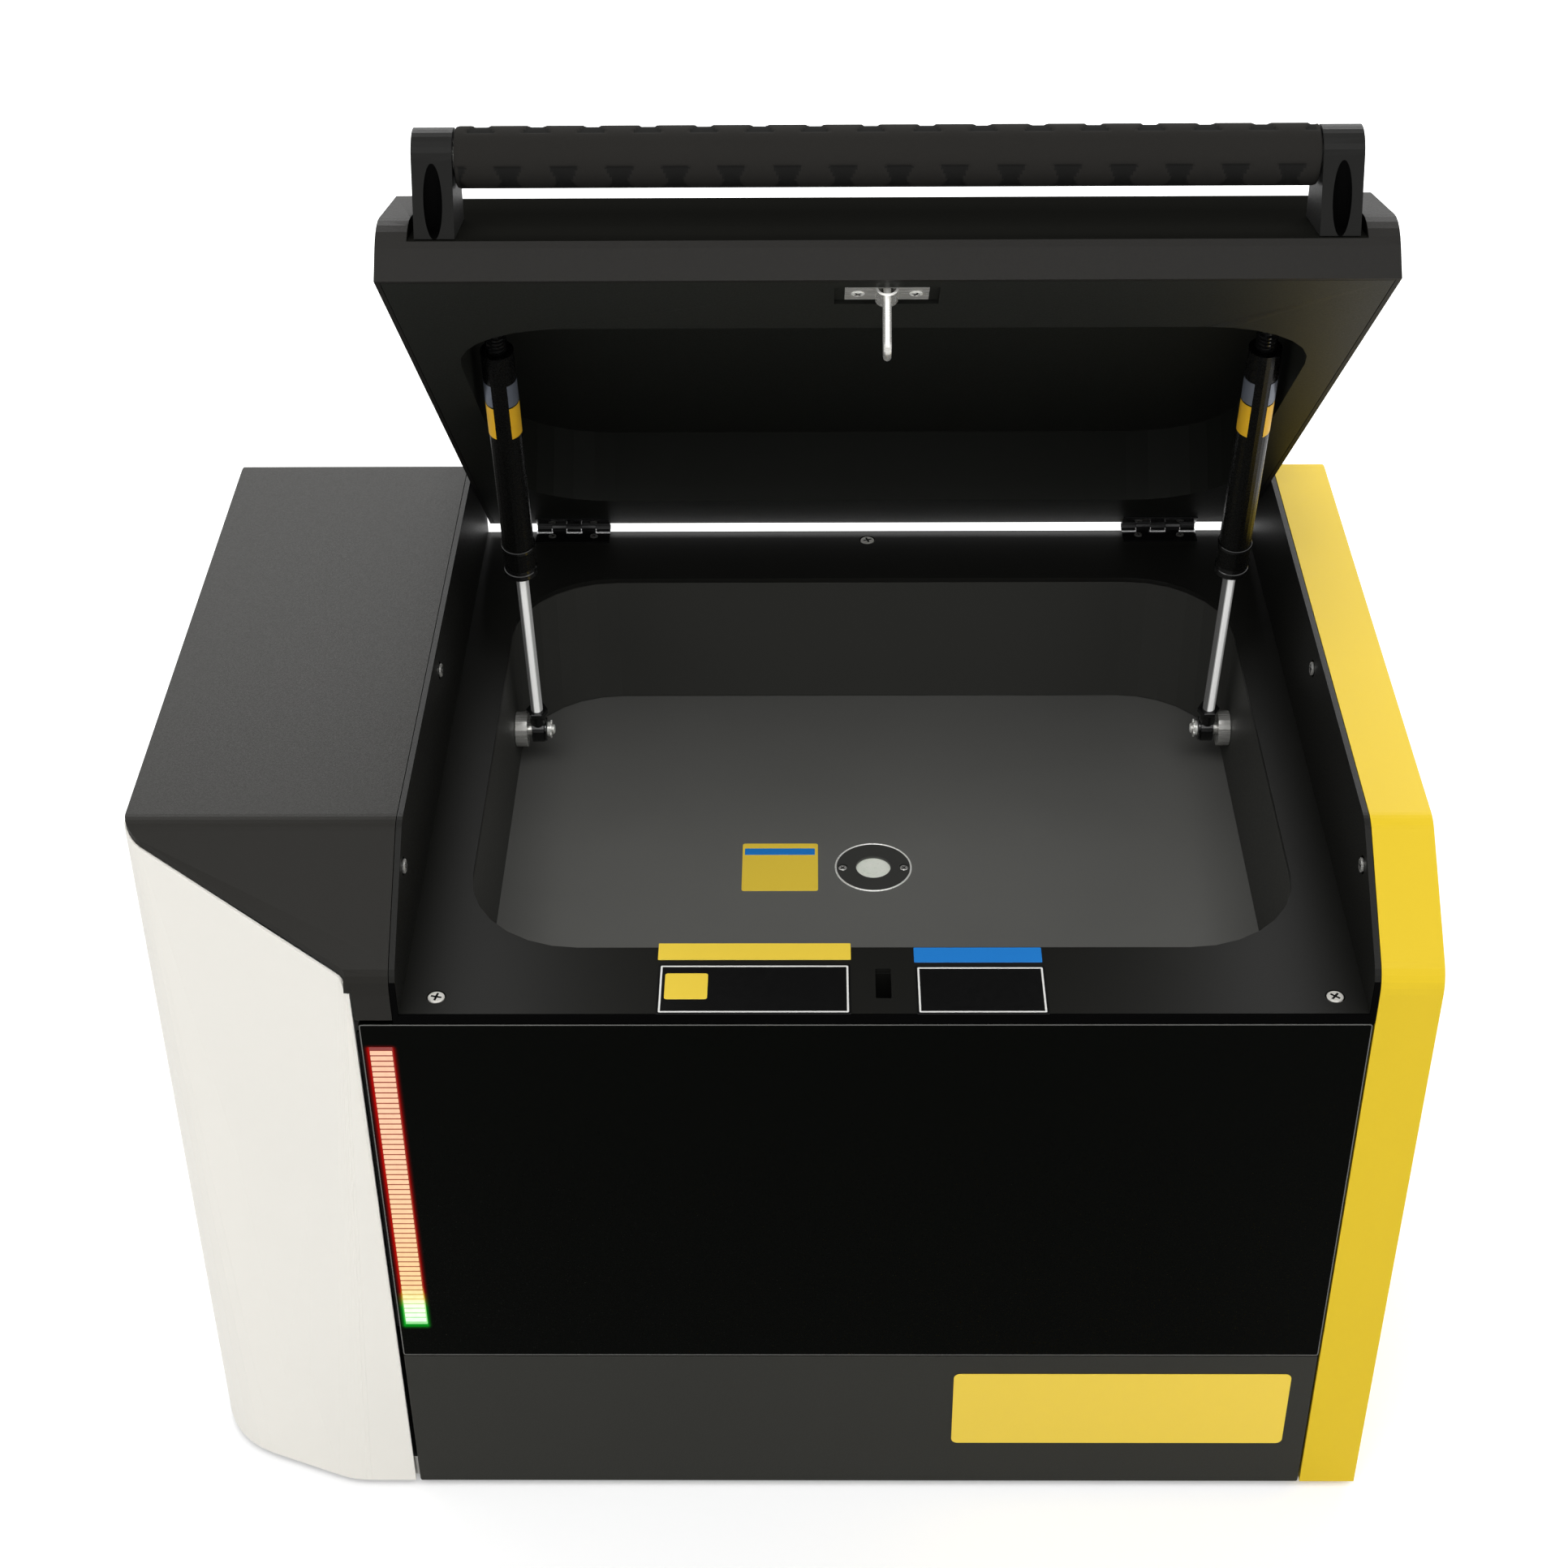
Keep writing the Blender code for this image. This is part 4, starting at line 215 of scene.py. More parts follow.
def light_ramp(name, stops, strength, uneven=0.06):
    """A lit material whose colour changes with height."""
    made, nodes, links, shader = new_material(name)
    place = nodes.new("ShaderNodeTexCoord")
    split = nodes.new("ShaderNodeSeparateXYZ")
    links.new(place.outputs["Object"], split.inputs["Vector"])
    height = spread(nodes, links, split.outputs["Z"], 0, 1, LIGHT_LOW, LIGHT_HIGH)
    ramp = nodes.new("ShaderNodeValToRGB")
    band = ramp.color_ramp
    band.elements[0].position = stops[0][0]
    band.elements[0].color = (*stops[0][1], 1)
    band.elements[1].position = stops[-1][0]
    band.elements[1].color = (*stops[-1][1], 1)
    for position, colour in stops[1:-1]:
        band.elements.new(position).color = (*colour, 1)
    links.new(height, ramp.inputs["Fac"])
    links.new(ramp.outputs["Color"], shader.inputs["Emission Color"])
    glow = noise_node(nodes, links, 400)
    power = spread(nodes, links, glow, strength * (1 - uneven), strength * (1 + uneven))
    links.new(power, shader.inputs["Emission Strength"])
    shader.inputs["Base Color"].default_value = (0.02, 0.02, 0.02, 1)
    shader.inputs["Roughness"].default_value = 0.4
    return made


def pocket_painted_shade(nodes, links):
    """The mask of the painted shade on the floor and the end walls of the lid's front pocket."""
    low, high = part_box("lid_shell")
    node = frame["nodes"]["lid_shell"]
    rise = height_over(nodes, links, node, OPENED @ POCKET_EDGE, OPENED.to_3x3() @ OFF_SLOPE)
    across = height_over(nodes, links, node, (low + high) / 2, (1, 0, 0))
    side = calculate(nodes, links, "ABSOLUTE", across)
    inside = calculate(nodes, links, "LESS_THAN", side, (high.x - low.x) / 2 - POCKET_END)
    above = calculate(nodes, links, "GREATER_THAN", rise, -POCKET_SLACK)
    return calculate(nodes, links, "MULTIPLY", above, inside)


def well_painted_shade(name):
    """The mask of the painted shade on the wall and the floor of a bracket's screw well."""
    def mask(nodes, links):
        low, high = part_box(name)
        node = frame["nodes"][name]
        start = OPENED @ (POCKET_EDGE + SLOPE * WELL_UP_SLOPE + OFF_SLOPE * WELL_OFF_SLOPE)
        start.x = (low.x + high.x) / 2
        run = OPENED.to_3x3() @ (SLOPE * math.sin(WELL_LEAN) - OFF_SLOPE * math.cos(WELL_LEAN))
        back = node.matrix_world.inverted()
        place = nodes.new("ShaderNodeTexCoord")
        away = nodes.new("ShaderNodeVectorMath")
        away.operation = "SUBTRACT"
        links.new(place.outputs["Object"], away.inputs[0])
        away.inputs[1].default_value = back @ start
        cross = nodes.new("ShaderNodeVectorMath")
        cross.operation = "CROSS_PRODUCT"
        links.new(away.outputs["Vector"], cross.inputs[0])
        cross.inputs[1].default_value = back.to_3x3() @ run
        length = nodes.new("ShaderNodeVectorMath")
        length.operation = "LENGTH"
        links.new(cross.outputs["Vector"], length.inputs[0])
        return calculate(nodes, links, "LESS_THAN", length.outputs["Value"], WELL_RADIUS)

    return mask


def front_lip_painted_shade(nodes, links):
    """The mask of the painted shade on the front edge of the bay's liner."""
    node = frame["nodes"]["bay_liner"]
    ahead = height_over(nodes, links, node, (0, FRONT + LIP_BEHIND_FRONT, 0), (0, -1, 0))
    return calculate(nodes, links, "GREATER_THAN", ahead, 0.0)


# Sheet and moulded covers
housing = surface("housing_grey", linear(33, 32, 29), 0.48, specular=0.12, cloud=4,
                  bump=0.12, grain=1500)
# The liner's front lip takes painted shade: near black, with no gloss
satin = surface("satin_black", linear(28, 28, 26), 0.45, specular=0.10, uneven=0.15,
                bump=0.05, grain=1300, patch=(linear(9, 9, 9), front_lip_painted_shade))
# The lid's front pocket takes painted shade: darker, with no gloss
lid_black = surface("lid_black", linear(33, 32, 30), 0.55, specular=0.11, uneven=0.15,
                    bump=0.18, grain=1500, patch=(linear(22, 22, 20), pocket_painted_shade))
tub_black = surface("tub_black", linear(66, 66, 63), 0.50, specular=0.10, uneven=0.12,
                    bump=0.05, grain=1300)
pan_black = surface("pan_black", linear(33, 34, 31), 0.50, specular=0.12, uneven=0.15,
                    bump=0.10, grain=1500)
panel_black = surface("panel_black", linear(46, 46, 42), 0.55, specular=0.13,
                      bump=0.15, grain=1500)
floor_grey = surface("floor_grey", linear(102, 102, 99), 0.42, specular=0.14, uneven=0.12,
                     cloud=9, bump=0.08, grain=1100)
white_paint = surface("white_paint", linear(243, 240, 232), 0.38, specular=0.2, uneven=0.025,
                      bump=0.04, grain=1200)
yellow_paint = surface("yellow_paint", linear(232, 199, 46), 0.38, specular=0.08, uneven=0.05,
                       bump=0.04, grain=1200)

# Metals
steel = surface("turned_steel", linear(222, 221, 216), 0.24, metal=0.62,
                stretch=(1, 40, 40), grain=60)
bright = surface("bright_metal", linear(246, 246, 240), 0.30, metal=0.25, grain=600)
screw_metal = surface("screw_metal", linear(214, 212, 205), 0.50, metal=0.25,
                      specular=0.3, grain=600)
ring_dark = surface("ring_dark", linear(62, 62, 60), 0.35, specular=0.35)
zinc = surface("plain_zinc", linear(172, 172, 168), 0.38, metal=1.0, cloud=25)
case_metal = surface("case_metal", linear(190, 190, 190), 0.42, metal=1.0, cloud=12)
cast = surface("cast_housing", linear(120, 120, 118), 0.6, metal=0.6, bump=0.2)
brass = surface("machined_brass", linear(196, 160, 92), 0.3, metal=1.0)

# Plastics, rubber, boards and labels
board_green = surface("board_green", linear(24, 92, 48), 0.45, uneven=0.2, cloud=40)
rubber = surface("foam_rubber", linear(40, 39, 37), 0.92, specular=0.04, uneven=0.12,
                 bump=0.25, grain=2600)
plastic = surface("satin_plastic", linear(28, 28, 26), 0.40, specular=0.14, bump=0.06, grain=1400)
tube_black = surface("tube_black", linear(12, 12, 11), 0.28, specular=0.22, grain=1400)
brackets = {}
# The brackets' screw wells take painted shade: near black, with no gloss
for side in ("left", "right"):
    brackets[side] = surface("bracket_" + side, linear(30, 30, 29), 0.42, specular=0.07,
                             bump=0.06, grain=1400,
                             patch=(linear(8, 8, 8), well_painted_shade("handle_bracket_" + side)))
board_black = surface("board_black", linear(12, 13, 12), 0.5, specular=0.2, cloud=40)
# Near black for the screws' cross recesses, as painted shade
recess_black = surface("recess_black", linear(24, 24, 23), 0.6, specular=0.1)
edge_grey = surface("edge_grey", linear(96, 96, 93), 0.4)
# Darker rubber for the grip's hollows, as painted shade
hollow_rubber = surface("hollow_rubber", linear(31, 31, 30), 0.92, specular=0.03,
                        bump=0.25, grain=2600)
gloss_black = surface("gloss_black", linear(17, 17, 17), 0.16, specular=0.65)
film = surface("thin_film", linear(244, 252, 236), 0.30, specular=0.5, uneven=0.10, cloud=180)
label_yellow = surface("label_yellow", linear(247, 214, 74), 0.42, specular=0.3, uneven=0.03)
label_blue = surface("label_blue", linear(38, 130, 214), 0.42, specular=0.3, uneven=0.05)
label_white = surface("label_white", linear(240, 240, 236), 0.42, specular=0.3, uneven=0.03)
label_black = surface("label_black", linear(14, 14, 14), 0.35, specular=0.25)
label_silver = surface("label_silver", linear(120, 126, 138), 0.4, metal=0.4)
label_amber = surface("label_amber", linear(255, 196, 44), 0.42, specular=0.3, uneven=0.03)

# The strut rod's painted highlight, a bright band that glows, with painted dark reflection beside it:
# where the band is brightest and where it ends, either side of the rod's axis
HIGHLIGHT_FULL_LEFT, HIGHLIGHT_EDGE_LEFT = -0.0006, -0.0014
HIGHLIGHT_FULL_RIGHT, HIGHLIGHT_EDGE_RIGHT = 0.0014, 0.0021
HIGHLIGHT_GLOW = 0.42


def rod_with_painted_highlight(name, height, axis_x):
    """A polished rod with a painted highlight, one bright glowing band along it, and painted dark
    reflection beside the band, whose end fitting below one height is black.
    """
    made, nodes, links, shader = new_material(name)
    place = nodes.new("ShaderNodeTexCoord")
    split = nodes.new("ShaderNodeSeparateXYZ")
    links.new(place.outputs["Object"], split.inputs["Vector"])
    above = spread(nodes, links, split.outputs["Z"], 0, 1, height - 0.0001, height + 0.0001)
    rise = spread(nodes, links, split.outputs["X"], 0.10, 1,
                  axis_x + HIGHLIGHT_EDGE_LEFT, axis_x + HIGHLIGHT_FULL_LEFT)
    fall = spread(nodes, links, split.outputs["X"], 1, 0.35,
                  axis_x + HIGHLIGHT_FULL_RIGHT, axis_x + HIGHLIGHT_EDGE_RIGHT)
    band = calculate(nodes, links, "MULTIPLY", rise, fall)
    lit = calculate(nodes, links, "MULTIPLY", above, band)
    # Painted reflection: near black beside the band, near white in it, and black on the fitting below
    # its top
    tone = blend_colours(nodes, links, lit, linear(16, 16, 16), linear(246, 246, 244))
    links.new(tone, shader.inputs["Base Color"])
    fine = noise_node(nodes, links, 500, (8, 8, 1))
    links.new(spread(nodes, links, fine, 0.20, 0.28), shader.inputs["Roughness"])
    metal = spread(nodes, links, above, 0.0, 0.2, 0, 1)
    links.new(metal, shader.inputs["Metallic"])
    # The band glows as a painted highlight
    shader.inputs["Emission Color"].default_value = (1, 1, 0.98, 1)
    links.new(spread(nodes, links, lit, 0.0, HIGHLIGHT_GLOW, 0, 1), shader.inputs["Emission Strength"])
    return made


def lit_glass(name):
    """Black glass that takes a soft red and green glow round the light bar."""
    made, nodes, links, shader = new_material(name)
    place = nodes.new("ShaderNodeTexCoord")
    split = nodes.new("ShaderNodeSeparateXYZ")
    links.new(place.outputs["Object"], split.inputs["Vector"])

    def away_squared(output, middle, half):
        shifted = calculate(nodes, links, "SUBTRACT", output, middle)
        size = calculate(nodes, links, "ABSOLUTE", shifted)
        excess = calculate(nodes, links, "SUBTRACT", size, half)
        beyond = calculate(nodes, links, "MAXIMUM", excess, 0.0)
        return calculate(nodes, links, "MULTIPLY", beyond, beyond)

    aside = away_squared(split.outputs["X"], BAR_MIDDLE, BAR_HALF)
    over = away_squared(split.outputs["Z"], (LIGHT_LOW + LIGHT_HIGH) / 2,
                        (LIGHT_HIGH - LIGHT_LOW) / 2)
    distance = calculate(nodes, links, "SQRT", calculate(nodes, links, "ADD", aside, over))
    near = spread(nodes, links, distance, 1, 0, 0, GLOW_REACH)
    glow = calculate(nodes, links, "POWER", near, 4.0)
    height = spread(nodes, links, split.outputs["Z"], 0, 1, GREEN_END, RED_START)
    tone = blend_colours(nodes, links, height, (0.0, 0.55, 0.02), (0.62, 0.0, 0.0))
    links.new(tone, shader.inputs["Emission Color"])
    links.new(glow, shader.inputs["Emission Strength"])
    fine = noise_node(nodes, links, 900)
    links.new(blend_colours(nodes, links, fine, (0.0006, 0.0008, 0.0005), (0.0016, 0.0019, 0.0013)),
              shader.inputs["Base Color"])
    links.new(spread(nodes, links, fine, 0.06, 0.12), shader.inputs["Roughness"])
    shader.inputs["Specular IOR Level"].default_value = 0.02
    return made


glass_black = lit_glass("front_black_glass")
ROD_FITTING_TOP = 0.2632
# Strut rods with a painted highlight and painted reflection along them
rods = {side: rod_with_painted_highlight("strut_rod_" + side, ROD_FITTING_TOP, x)
        for side, x, way in STRUT_SIDES}
# The light bar's colours, by share of its height
GAP_COLOURS = [(0, (0.30, 0.80, 0.30)), (0.075, (0.45, 0.80, 0.25)), (0.10, (0.75, 0.45, 0.04)),
               (0.14, (0.30, 0.03, 0.004)), (1, (0.24, 0.010, 0.005))]
CELL_COLOURS = [(0, (0.80, 1.0, 0.82)), (0.07, (1.0, 1.0, 0.86)), (0.105, (1.0, 0.92, 0.40)),
                (0.15, (1.0, 0.66, 0.30)), (0.6, (1.0, 0.60, 0.36)), (1, (1.0, 0.56, 0.36))]
red_light = light_ramp("bar_red", GAP_COLOURS, 1.0)
cell_light = light_ramp("bar_cells", CELL_COLOURS, 1.0)

FINISHES = {
    # Covers and the bay
    "left_top_cover": housing, "left_side_cover": white_paint, "right_side_cover": yellow_paint,
    "rear_panel": housing, "lower_front_panel": panel_black, "bay_liner": satin,
    "chamber_tub": tub_black, "chamber_floor": floor_grey, "window_ring": ring_dark,
    "window_film": film, "front_glass": glass_black, "led_light_bar": red_light, "base_pan": zinc,
    "rubber_foot_front_left": rubber, "rubber_foot_front_right": rubber,
    "rubber_foot_rear_left": rubber, "rubber_foot_rear_right": rubber,
    # Lid, handle, hinges, lock and struts
    "lid_shell": lid_black, "lid_inner_pan": pan_black, "striker_plate": steel,
    "striker_loop": steel, "handle_bracket_left": brackets["left"],
    "handle_bracket_right": brackets["right"], "handle_grip": rubber, "handle_core": steel,
    "hinge_body_leaf_left": gloss_black, "hinge_body_leaf_right": gloss_black,
    "hinge_lid_leaf_left": gloss_black, "hinge_lid_leaf_right": gloss_black,
    "lock_housing": plastic, "lock_bolt": steel, "lock_solenoid": steel,
    "strut_rod_left": rods["left"], "strut_rod_right": rods["right"],
    "strut_tube_left": tube_black, "strut_tube_right": tube_black,
    "strut_stud_left": steel, "strut_stud_right": steel,
    "lid_strut_pad_left": steel, "lid_strut_pad_right": steel,
    # Back
    "fan_frame": plastic, "fan_guard": steel, "fan_rotor": plastic, "power_inlet": plastic,
    "power_rocker": gloss_black, "rocker_frame": plastic,
    # Inside
    "board_tray": zinc, "main_board": board_green, "led_board": board_black,
    "display_module": case_metal, "power_supply": case_metal, "high_voltage_supply": case_metal,
    "xray_tube": cast, "source_clamp": zinc, "detector": steel, "detector_clamp": zinc,
    "filter_motor": steel, "filter_wheel": brass, "optics_block": brass, "optics_stand": zinc,
}

# Edge rounding of the shown sheet and moulded pieces
ROUNDING = {
    "left_top_cover": 0.0006, "left_side_cover": 0.0012, "right_side_cover": 0.0012,
    "rear_panel": 0.0006, "lower_front_panel": 0.0008, "bay_liner": 0.0005, "chamber_tub": 0.0004,
    "lid_shell": 0.0008, "lid_inner_pan": 0.0006, "front_glass": 0.0005,
    "handle_bracket_left": 0.0013, "handle_bracket_right": 0.0013, "striker_plate": 0.0003,
    "strut_stud_left": 0.0003, "strut_stud_right": 0.0003, "lock_housing": 0.0005,
    "power_inlet": 0.0005, "rocker_frame": 0.0004, "power_rocker": 0.0005, "fan_frame": 0.0004,
    "base_pan": 0.0004,
}

for node_name, node in frame["nodes"].items():
    node.data.materials.clear()
    node.data.materials.append(FINISHES[node_name])
    if node_name in ROUNDING:
        weld = node.modifiers.new("weld", "WELD")
        weld.merge_threshold = 0.00001
        edge = node.modifiers.new("edge", "BEVEL")
        edge.width = ROUNDING[node_name]
        edge.segments = 2
        edge.limit_method = "ANGLE"
        edge.angle_limit = math.radians(30)
        edge.use_clamp_overlap = True
        edge.harden_normals = True


# Building helpers
def add_piece(name, bm, material, body="body", turn=None, smooth=30, second=None):
    if turn:
        bmesh.ops.transform(bm, matrix=turn, verts=bm.verts)
    bmesh.ops.recalc_face_normals(bm, faces=bm.faces)
    mesh = bpy.data.meshes.new(name)
    bm.to_mesh(mesh)
    bm.free()
    for face in mesh.polygons:
        face.use_smooth = True
    mesh.set_sharp_from_angle(angle=math.radians(smooth))
    mesh.materials.append(material)
    if second:
        mesh.materials.append(second)
    piece = bpy.data.objects.new(name, mesh)
    bpy.context.scene.collection.objects.link(piece)
    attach(piece, body)
    return piece


def facing(place, normal, across=(1, 0, 0)):
    """A matrix at a place whose Z runs along the normal and whose X runs near the across line."""
    z = Vector(normal).normalized()
    x = Vector(across)
    x = (x - z * x.dot(z)).normalized()
    y = z.cross(x)
    turn = Matrix((x, y, z)).transposed().to_4x4()
    return Matrix.Translation(Vector(place)) @ turn


def ring_of(bm, matrix, points):
    return [bm.verts.new(matrix @ Vector(point)) for point in points]


def join_rings(bm, first, second):
    for i in range(len(first)):
        j = (i + 1) % len(first)
        bm.faces.new((first[i], first[j], second[j], second[i]))


def circle_points(radius, height, sides):
    points = []
    for i in range(sides):
        angle = 2 * math.pi * i / sides
        points.append((radius * math.cos(angle), radius * math.sin(angle), height))
    return points


def add_lathe(bm, matrix, rows, sides=32):
    """A closed turned shape from (radius, height) rows, with both ends capped."""
    rings = [ring_of(bm, matrix, circle_points(radius, height, sides)) for radius, height in rows]
    for first, second in zip(rings, rings[1:]):
        join_rings(bm, first, second)
    bm.faces.new(rings[0])
    bm.faces.new(rings[-1])


def add_tube(bm, matrix, rows, sides=40):
    """A ring-shaped turned piece whose rows close on themselves."""
    rings = [ring_of(bm, matrix, circle_points(radius, height, sides)) for radius, height in rows]
    for i, first in enumerate(rings):
        join_rings(bm, first, rings[(i + 1) % len(rings)])


def rounded_outline(width, depth, radius, steps=6):
    points = []
    for corner, (sx, sy) in enumerate(((1, 1), (-1, 1), (-1, -1), (1, -1))):
        for i in range(steps + 1):
            angle = math.pi / 2 * (corner + i / steps)
            points.append((sx * (width / 2 - radius) + radius * math.cos(angle),
                           sy * (depth / 2 - radius) + radius * math.sin(angle)))
    return points


def add_plate(bm, matrix, width, depth, radius, thick, edge=0.0001):
    """A thin plate with rounded corners and a small rounded upper edge."""
    outer = rounded_outline(width, depth, radius)
    inner = rounded_outline(width - 2 * edge, depth - 2 * edge, max(radius - edge, edge / 2))
    rows = [[(x, y, 0) for x, y in outer], [(x, y, thick - edge) for x, y in outer],
            [(x, y, thick) for x, y in inner]]
    rings = [ring_of(bm, matrix, row) for row in rows]
    join_rings(bm, rings[0], rings[1])
    join_rings(bm, rings[1], rings[2])
    bm.faces.new(rings[0])
    bm.faces.new(rings[2])


def add_frame(bm, matrix, width, depth, radius, line, thick):
    """A thin border: a rounded outline with a hole, printed on the labels and a painted highlight
    round the front glass.
    """
    outer = rounded_outline(width, depth, radius)
    inner = rounded_outline(width - 2 * line, depth - 2 * line, max(radius - line, 0.0002))
    rings = [ring_of(bm, matrix, [(x, y, z) for x, y in points])
             for points, z in ((outer, 0), (outer, thick), (inner, thick), (inner, 0))]
    for i, first in enumerate(rings):
        join_rings(bm, first, rings[(i + 1) % 4])


def add_screw(bm, matrix, radius, rise, depth, arm=0.66, blade=0.14, turn=0.35):
    """A round screw head on a seat at height 0, with a cross recess in the second material, which
    paints shade into the recess.
    """
    sides = 32
    crown = radius * 0.88

    def cross(size, half, height):
        points = []
        for quarter in range(4):
            angle = turn + quarter * math.pi / 2
            c, s = math.cos(angle), math.sin(angle)
            for x, y in ((size, -half), (size, half), (half, half)):
                points.append((x * c - y * s, x * s + y * c, height))
        return points

    top_ring = ring_of(bm, matrix, circle_points(crown, rise, sides))
    rim = ring_of(bm, matrix, circle_points(radius, rise - (radius - crown) * 0.7, sides))
    skirt = ring_of(bm, matrix, circle_points(radius * 0.98, -depth, sides))
    join_rings(bm, top_ring, rim)
    join_rings(bm, rim, skirt)
    bm.faces.new(skirt)
    whole = len(bm.faces)
    mouth = ring_of(bm, matrix, cross(radius * arm, radius * blade, rise))
    floor = cross(radius * arm * 0.55, radius * blade * 0.7, rise - radius * 0.55)
    bottom = ring_of(bm, matrix, floor)
    join_rings(bm, mouth, bottom)
    bm.faces.new(bottom)
    bm.faces.ensure_lookup_table()
    for face in bm.faces[whole:]:
        face.material_index = 1
    edges = []
    for ring in (top_ring, mouth):
        for i, vert in enumerate(ring):
            edges.append(bm.edges.get((vert, ring[(i + 1) % len(ring)])))
    bmesh.ops.triangle_fill(bm, use_beauty=True, edges=edges)


def add_clip(bm, matrix, radius, bore, height, thick):
    """A spring clip: a flat ring with three notches and one open side."""
    steps = 36
    outline, hole = [], []
    for i in range(steps + 1):
        angle = math.radians(25 + 310 * i / steps)
        notch = 0.80 if i % 12 in (5, 6, 7) else 1.0
        outline.append((radius * notch * math.cos(angle), radius * notch * math.sin(angle)))
        hole.append((bore * math.cos(angle), bore * math.sin(angle)))
    shape = outline + hole[::-1]
    low = ring_of(bm, matrix, [(x, y, height) for x, y in shape])
    high = ring_of(bm, matrix, [(x, y, height + thick) for x, y in shape])
    join_rings(bm, low, high)
    last = 2 * steps + 1
    for ring in (low, high):
        for i in range(steps):
            bm.faces.new((ring[i], ring[i + 1], ring[last - 1 - i], ring[last - i]))


# Screws. Each kind of head has its radius, its rise over the seat and its depth below it
SEAT_SCREW = (0.00355, 0.0001, 0.002)
WALL_SCREW = (0.0032, 0.0009, 0.0001)
WINDOW_SCREW = (0.0020, -0.0001, 0.0009)
HINGE_SCREW = (0.0020, 0.0002, 0.0006)
PANEL_SCREW = (0.0030, 0.0014, 0.0001)
FAN_SCREW = (0.0027, 0.0014, 0.0001)
STRIKER_SCREW = (0.0027, 0.0004, 0.0004)

# Screws of the bay's seat and side walls
SEAT_SCREW_INSET = 0.012
bm = bmesh.new()
for x, y in ((BAY_LEFT + 0.0145, FRONT + SEAT_SCREW_INSET),
             (BAY_RIGHT - 0.0126, FRONT + SEAT_SCREW_INSET),
             (BAY_MIDDLE, liner_high.y - SEAT_SCREW_INSET)):
    add_screw(bm, facing((x, y, SEAT), (0, 0, 1)), *SEAT_SCREW, turn=0.2 + x * 3)
add_piece("seat_screws", bm, screw_metal, second=recess_black)

WALL_SCREW_GAP = 0.0002
bm = bmesh.new()
for x, way in ((BAY_LEFT, 1), (BAY_RIGHT, -1)):
    for y, z in ((-0.005, 0.3440), (-0.146, 0.3400)):
        add_screw(bm, facing((x + way * WALL_SCREW_GAP, y, z), (way, 0, 0), (0, 1, 0)), *WALL_SCREW)
add_piece("bay_wall_screws", bm, steel, second=recess_black)

# Screws of the window's ring
WINDOW_SCREW_REACH = 0.0150
bm = bmesh.new()
for way in (-1, 1):
    add_screw(bm, facing((WINDOW_X + way * WINDOW_SCREW_REACH, WINDOW_Y, FLOOR), (0, 0, 1)),
              *WINDOW_SCREW, turn=0.8)
add_piece("window_screws", bm, steel, second=recess_black)

# Screws of the hinges: two in each leaf
HINGE_SCREW_REACH = 0.011
HINGE_SCREW_Y = 0.18625
BODY_LEAF_TOP = SEAT + 0.001
LID_LEAF_FACE = 0.3007
bm = bmesh.new()
lid_bm = bmesh.new()
for side in ("left", "right"):
    leaf_low, leaf_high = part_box("hinge_body_leaf_" + side)
    for way in (-1, 1):
        x = (leaf_low.x + leaf_high.x) / 2 + way * HINGE_SCREW_REACH
        add_screw(bm, facing((x, HINGE_SCREW_Y, BODY_LEAF_TOP), (0, 0, 1)), *HINGE_SCREW, turn=x * 9)
        add_screw(lid_bm, facing((x, HINGE_SCREW_Y, LID_LEAF_FACE), (0, 0, -1)), *HINGE_SCREW,
                  turn=x * 7)
add_piece("hinge_body_screws", bm, edge_grey, second=recess_black)
add_piece("hinge_lid_screws", lid_bm, edge_grey, "lid", OPENED, second=recess_black)

# Screws of the rear panel and the fan
PANEL_SCREW_INSET = 0.0120
FAN_SCREW_INSET = 0.0042
bm = bmesh.new()
panel_low, panel_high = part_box("rear_panel")
fan_low, fan_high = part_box("fan_frame")
for x in (-0.2440, -0.1225, 0.0045, 0.1180, 0.2380):
    for z in (panel_low.z + PANEL_SCREW_INSET, panel_high.z - PANEL_SCREW_INSET):
        add_screw(bm, facing((x, panel_high.y, z), (0, 1, 0)), *PANEL_SCREW, turn=x * 11)
for x in (fan_low.x + FAN_SCREW_INSET, fan_high.x - FAN_SCREW_INSET):
    for z in (fan_low.z + FAN_SCREW_INSET, fan_high.z - FAN_SCREW_INSET):
        add_screw(bm, facing((x, panel_high.y, z), (0, 1, 0)), *FAN_SCREW, turn=x * 7)
add_piece("rear_screws", bm, steel, second=recess_black)

# Caps on the left wall of the bay
CAP_HEIGHT = 0.312
bm = bmesh.new()
for y in (-0.050, -0.078):
    add_lathe(bm, facing((BAY_LEFT, y, CAP_HEIGHT), (1, 0, 0)),
              [(0.0065, 0.0001), (0.0065, 0.0007), (0.0060, 0.0012), (0.0030, 0.0015),
               (0.0004, 0.0016)])
add_piece("bay_wall_caps", bm, gloss_black)

# Bare label places on the seat, the chamber floor and the lower panel
LABEL = 0.00025
INK = 0.00008
ON_SEAT = SEAT + 0.00005
ON_FLOOR = FLOOR + 0.00005


def flat_label(name, material, x0, x1, y0, y1, z, radius=0.0004, thick=LABEL):
    made = bmesh.new()
    middle = ((x0 + x1) / 2, (y0 + y1) / 2, z)
    add_plate(made, facing(middle, (0, 0, 1)), x1 - x0, y1 - y0, radius, thick)
    add_piece(name, made, material)


def flat_border(name, material, x0, x1, y0, y1, z, line, inset):
    made = bmesh.new()
    middle = ((x0 + x1) / 2, (y0 + y1) / 2, z)
    add_frame(made, facing(middle, (0, 0, 1)), x1 - x0 - 2 * inset, y1 - y0 - 2 * inset,
              0.0006, line, INK)
    add_piece(name, made, material)


